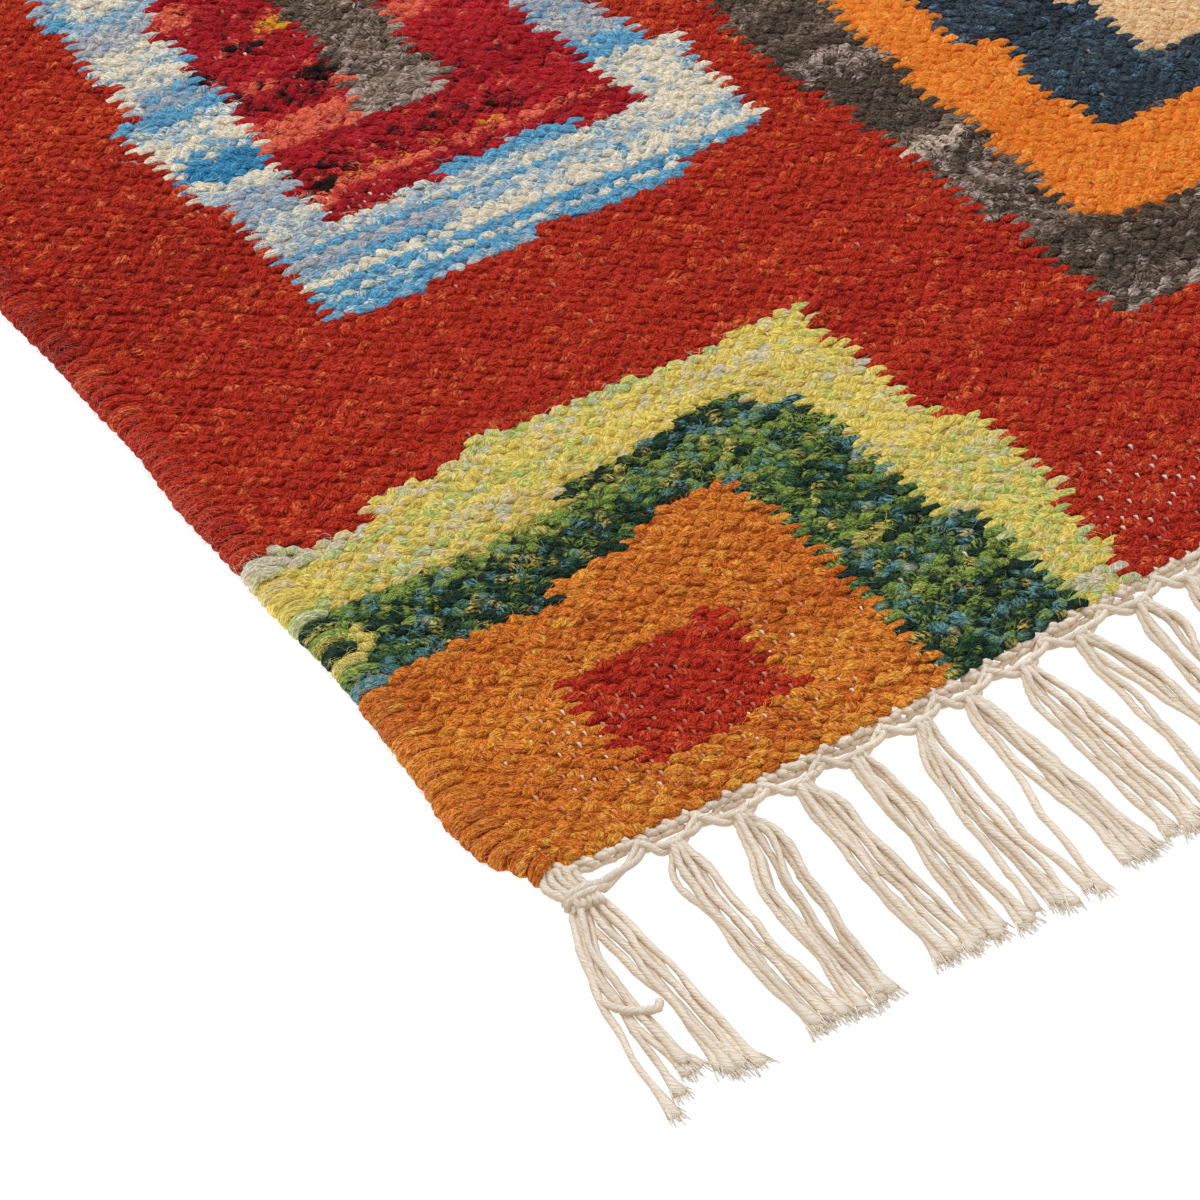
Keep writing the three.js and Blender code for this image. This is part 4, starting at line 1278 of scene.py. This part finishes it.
# Loose wool fibres
def stray_fibres():
    """Short hairs that lie on the wool and stand out of its edge, inside the photograph."""
    warp, pick = crossings()
    seen = in_frame(warp_x(warp), pick_y(pick))
    warp, pick = warp[seen], pick[seen]
    chosen = RANDOM.integers(0, len(warp), HAIRS)
    warp, pick = warp[chosen], pick[chosen]
    kind = RANDOM.random(HAIRS)
    edge, selvedge = kind < EDGE_HAIRS, kind < SELVEDGE_HAIRS
    warp[selvedge] = 0
    centre = np.stack([warp_x(warp), pick_y(pick), RANDOM.uniform(*HAIR_HEIGHT, HAIRS)], axis=-1)
    centre[:, 0] += RANDOM.uniform(-0.5, 0.5, HAIRS) * np.where(selvedge & ~edge, SELVEDGE_SPREAD, WARP_PITCH)
    centre[:, 1] += RANDOM.uniform(-0.5, 0.5, HAIRS) * PICK_PITCH
    centre[edge, 2] = RANDOM.uniform(*EDGE_HAIR_HEIGHT, int(edge.sum()))
    centre[edge, 0] = -WIDTH / 2 + HAIR["edge_inset"]
    heading = stray(HAIR["heading"], HAIRS) + np.where(edge, math.pi, 0)
    length = RANDOM.uniform(*HAIR_LENGTH, HAIRS) * np.where(edge, HAIR["edge_shorter"], 1.0)
    curl = stray(HAIR["curl"], HAIRS)
    rise = RANDOM.uniform(0.0, HAIR["rise"], HAIRS)
    t = np.linspace(-0.5, 0.5, len(HAIR_TAPER))[None, :]
    angle = heading[:, None] + curl[:, None] * t
    x = centre[:, None, 0] + length[:, None] * t * np.cos(angle)
    y = centre[:, None, 1] + length[:, None] * t * np.sin(angle)
    z = centre[:, None, 2] + rise[:, None] * (1 - (2 * t) ** 2)
    paths = settled(np.stack([x, y, z], axis=-1))
    half = HAIR_WIDTH / 2 * np.array(HAIR_TAPER)[None, :]
    beside = np.stack([-np.sin(angle) * half, np.cos(angle) * half, np.zeros(angle.shape)], axis=-1)
    points = np.stack([paths - beside, paths + beside], axis=2).reshape(HAIRS, 8, 3)
    # painted highlight: each hair is lighter than its yarn
    colour = PLY_A[warp, pick] * HAIR_LIGHT + HAIR_HIGHLIGHT
    pale = np.where(edge, HAIR_PALE["edge"], np.where(selvedge, HAIR_PALE["selvedge"], 0.0))[:, None]
    colour = (1 - pale) * colour + pale * np.append(EDGE_HAIR, 1.0)
    return one_pile("stray_fibres", WOOL, points, HAIR_FACES, colour, colour, np.zeros((HAIRS, 8, 2)))


# Camera, floor and light
def add_object(name, data):
    added = bpy.data.objects.new(name, data)
    bpy.context.scene.collection.objects.link(added)
    return added


def turned_to(direction):
    """The rotation that turns a camera or a light to look along a direction."""
    return Vector(direction).to_track_quat("-Z", "Y").to_euler()


def set_camera():
    data = bpy.data.cameras.new("photo_camera")
    data.sensor_width = SENSOR
    data.lens = CAMERA["lens"]
    data.clip_start = 0.01
    data.clip_end = 50
    camera = add_object("photo_camera", data)
    camera.location = (CAMERA["x"], CAMERA["y"], CAMERA["z"])
    camera.rotation_euler = turned_to(camera_axes()[0])
    bpy.context.scene.camera = camera


def pale_floor():
    material, tree = new_material("pale_floor")
    shader = node(tree, "ShaderNodeBsdfPrincipled", {
        "Base Color": (FLOOR["grey"], FLOOR["grey"], FLOOR["grey"], 1), "Roughness": 0.9,
        "Emission Color": (1, 1, 1, 1), "Emission Strength": FLOOR["glow"],
    })
    node(tree, "ShaderNodeOutputMaterial", {0: shader.outputs[0]})
    half = FLOOR["half"]
    mesh = bpy.data.meshes.new("floor")
    corners = [(-half, -half, 0), (half, -half, 0), (half, half, 0), (-half, half, 0)]
    mesh.from_pydata(corners, [], [(0, 1, 2, 3)])
    mesh.materials.append(material)
    add_object("floor", mesh)


def studio_light():
    world = bpy.data.worlds.new("studio")
    world.use_nodes = True
    background = world.node_tree.nodes["Background"]
    background.inputs[0].default_value = (1.0, 1.0, 1.0, 1)
    background.inputs[1].default_value = SKY_STRENGTH
    bpy.context.scene.world = world
    for name, (place, size, power) in LIGHTS.items():
        data = bpy.data.lights.new(name, "AREA")
        data.shape = "DISK"
        data.size = size
        data.energy = power
        light = add_object(name, data)
        light.location = place
        light.rotation_euler = turned_to(Vector(LIT_PLACE) - Vector(place))
    bpy.context.scene.view_settings.view_transform = "Standard"


set_camera()
pale_floor()
studio_light()

ground = ground_cloth()
WARP_AT, PICK_AT = stitch_sites()
CLOSE = in_frame(warp_x(WARP_AT), pick_y(PICK_AT))
close_warp, close_pick = WARP_AT[CLOSE], PICK_AT[CLOSE]
nearer = close_pick < np.median(close_pick)
close = fine_stitches("close_stitches", close_warp[nearer], close_pick[nearer])
middle = fine_stitches("middle_stitches", close_warp[~nearer], close_pick[~nearer])
far_warp, far_pick = WARP_AT[~CLOSE], PICK_AT[~CLOSE]
halves = far_pick < PICKS / 2
near_half = coarse_stitches("near_stitches", far_warp[halves], far_pick[halves])
far_half = coarse_stitches("far_stitches", far_warp[~halves], far_pick[~halves])
left_turns = selvedge_turns("left_selvedge", -1)
right_turns = selvedge_turns("right_selvedge", 1)
specks = warp_specks()
hairs = stray_fibres()
near_fringe = fringe("near_fringe", -1)
far_fringe = fringe("far_fringe", 1)

WOOLLEN = (ground, close, middle, near_half, far_half, left_turns, right_turns, hairs)
for piece in WOOLLEN:
    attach(piece, "root")
for piece in (specks, near_fringe, far_fringe):
    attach(piece, "root")
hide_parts("woven_body")
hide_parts("fringe_front")
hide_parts("fringe_back")
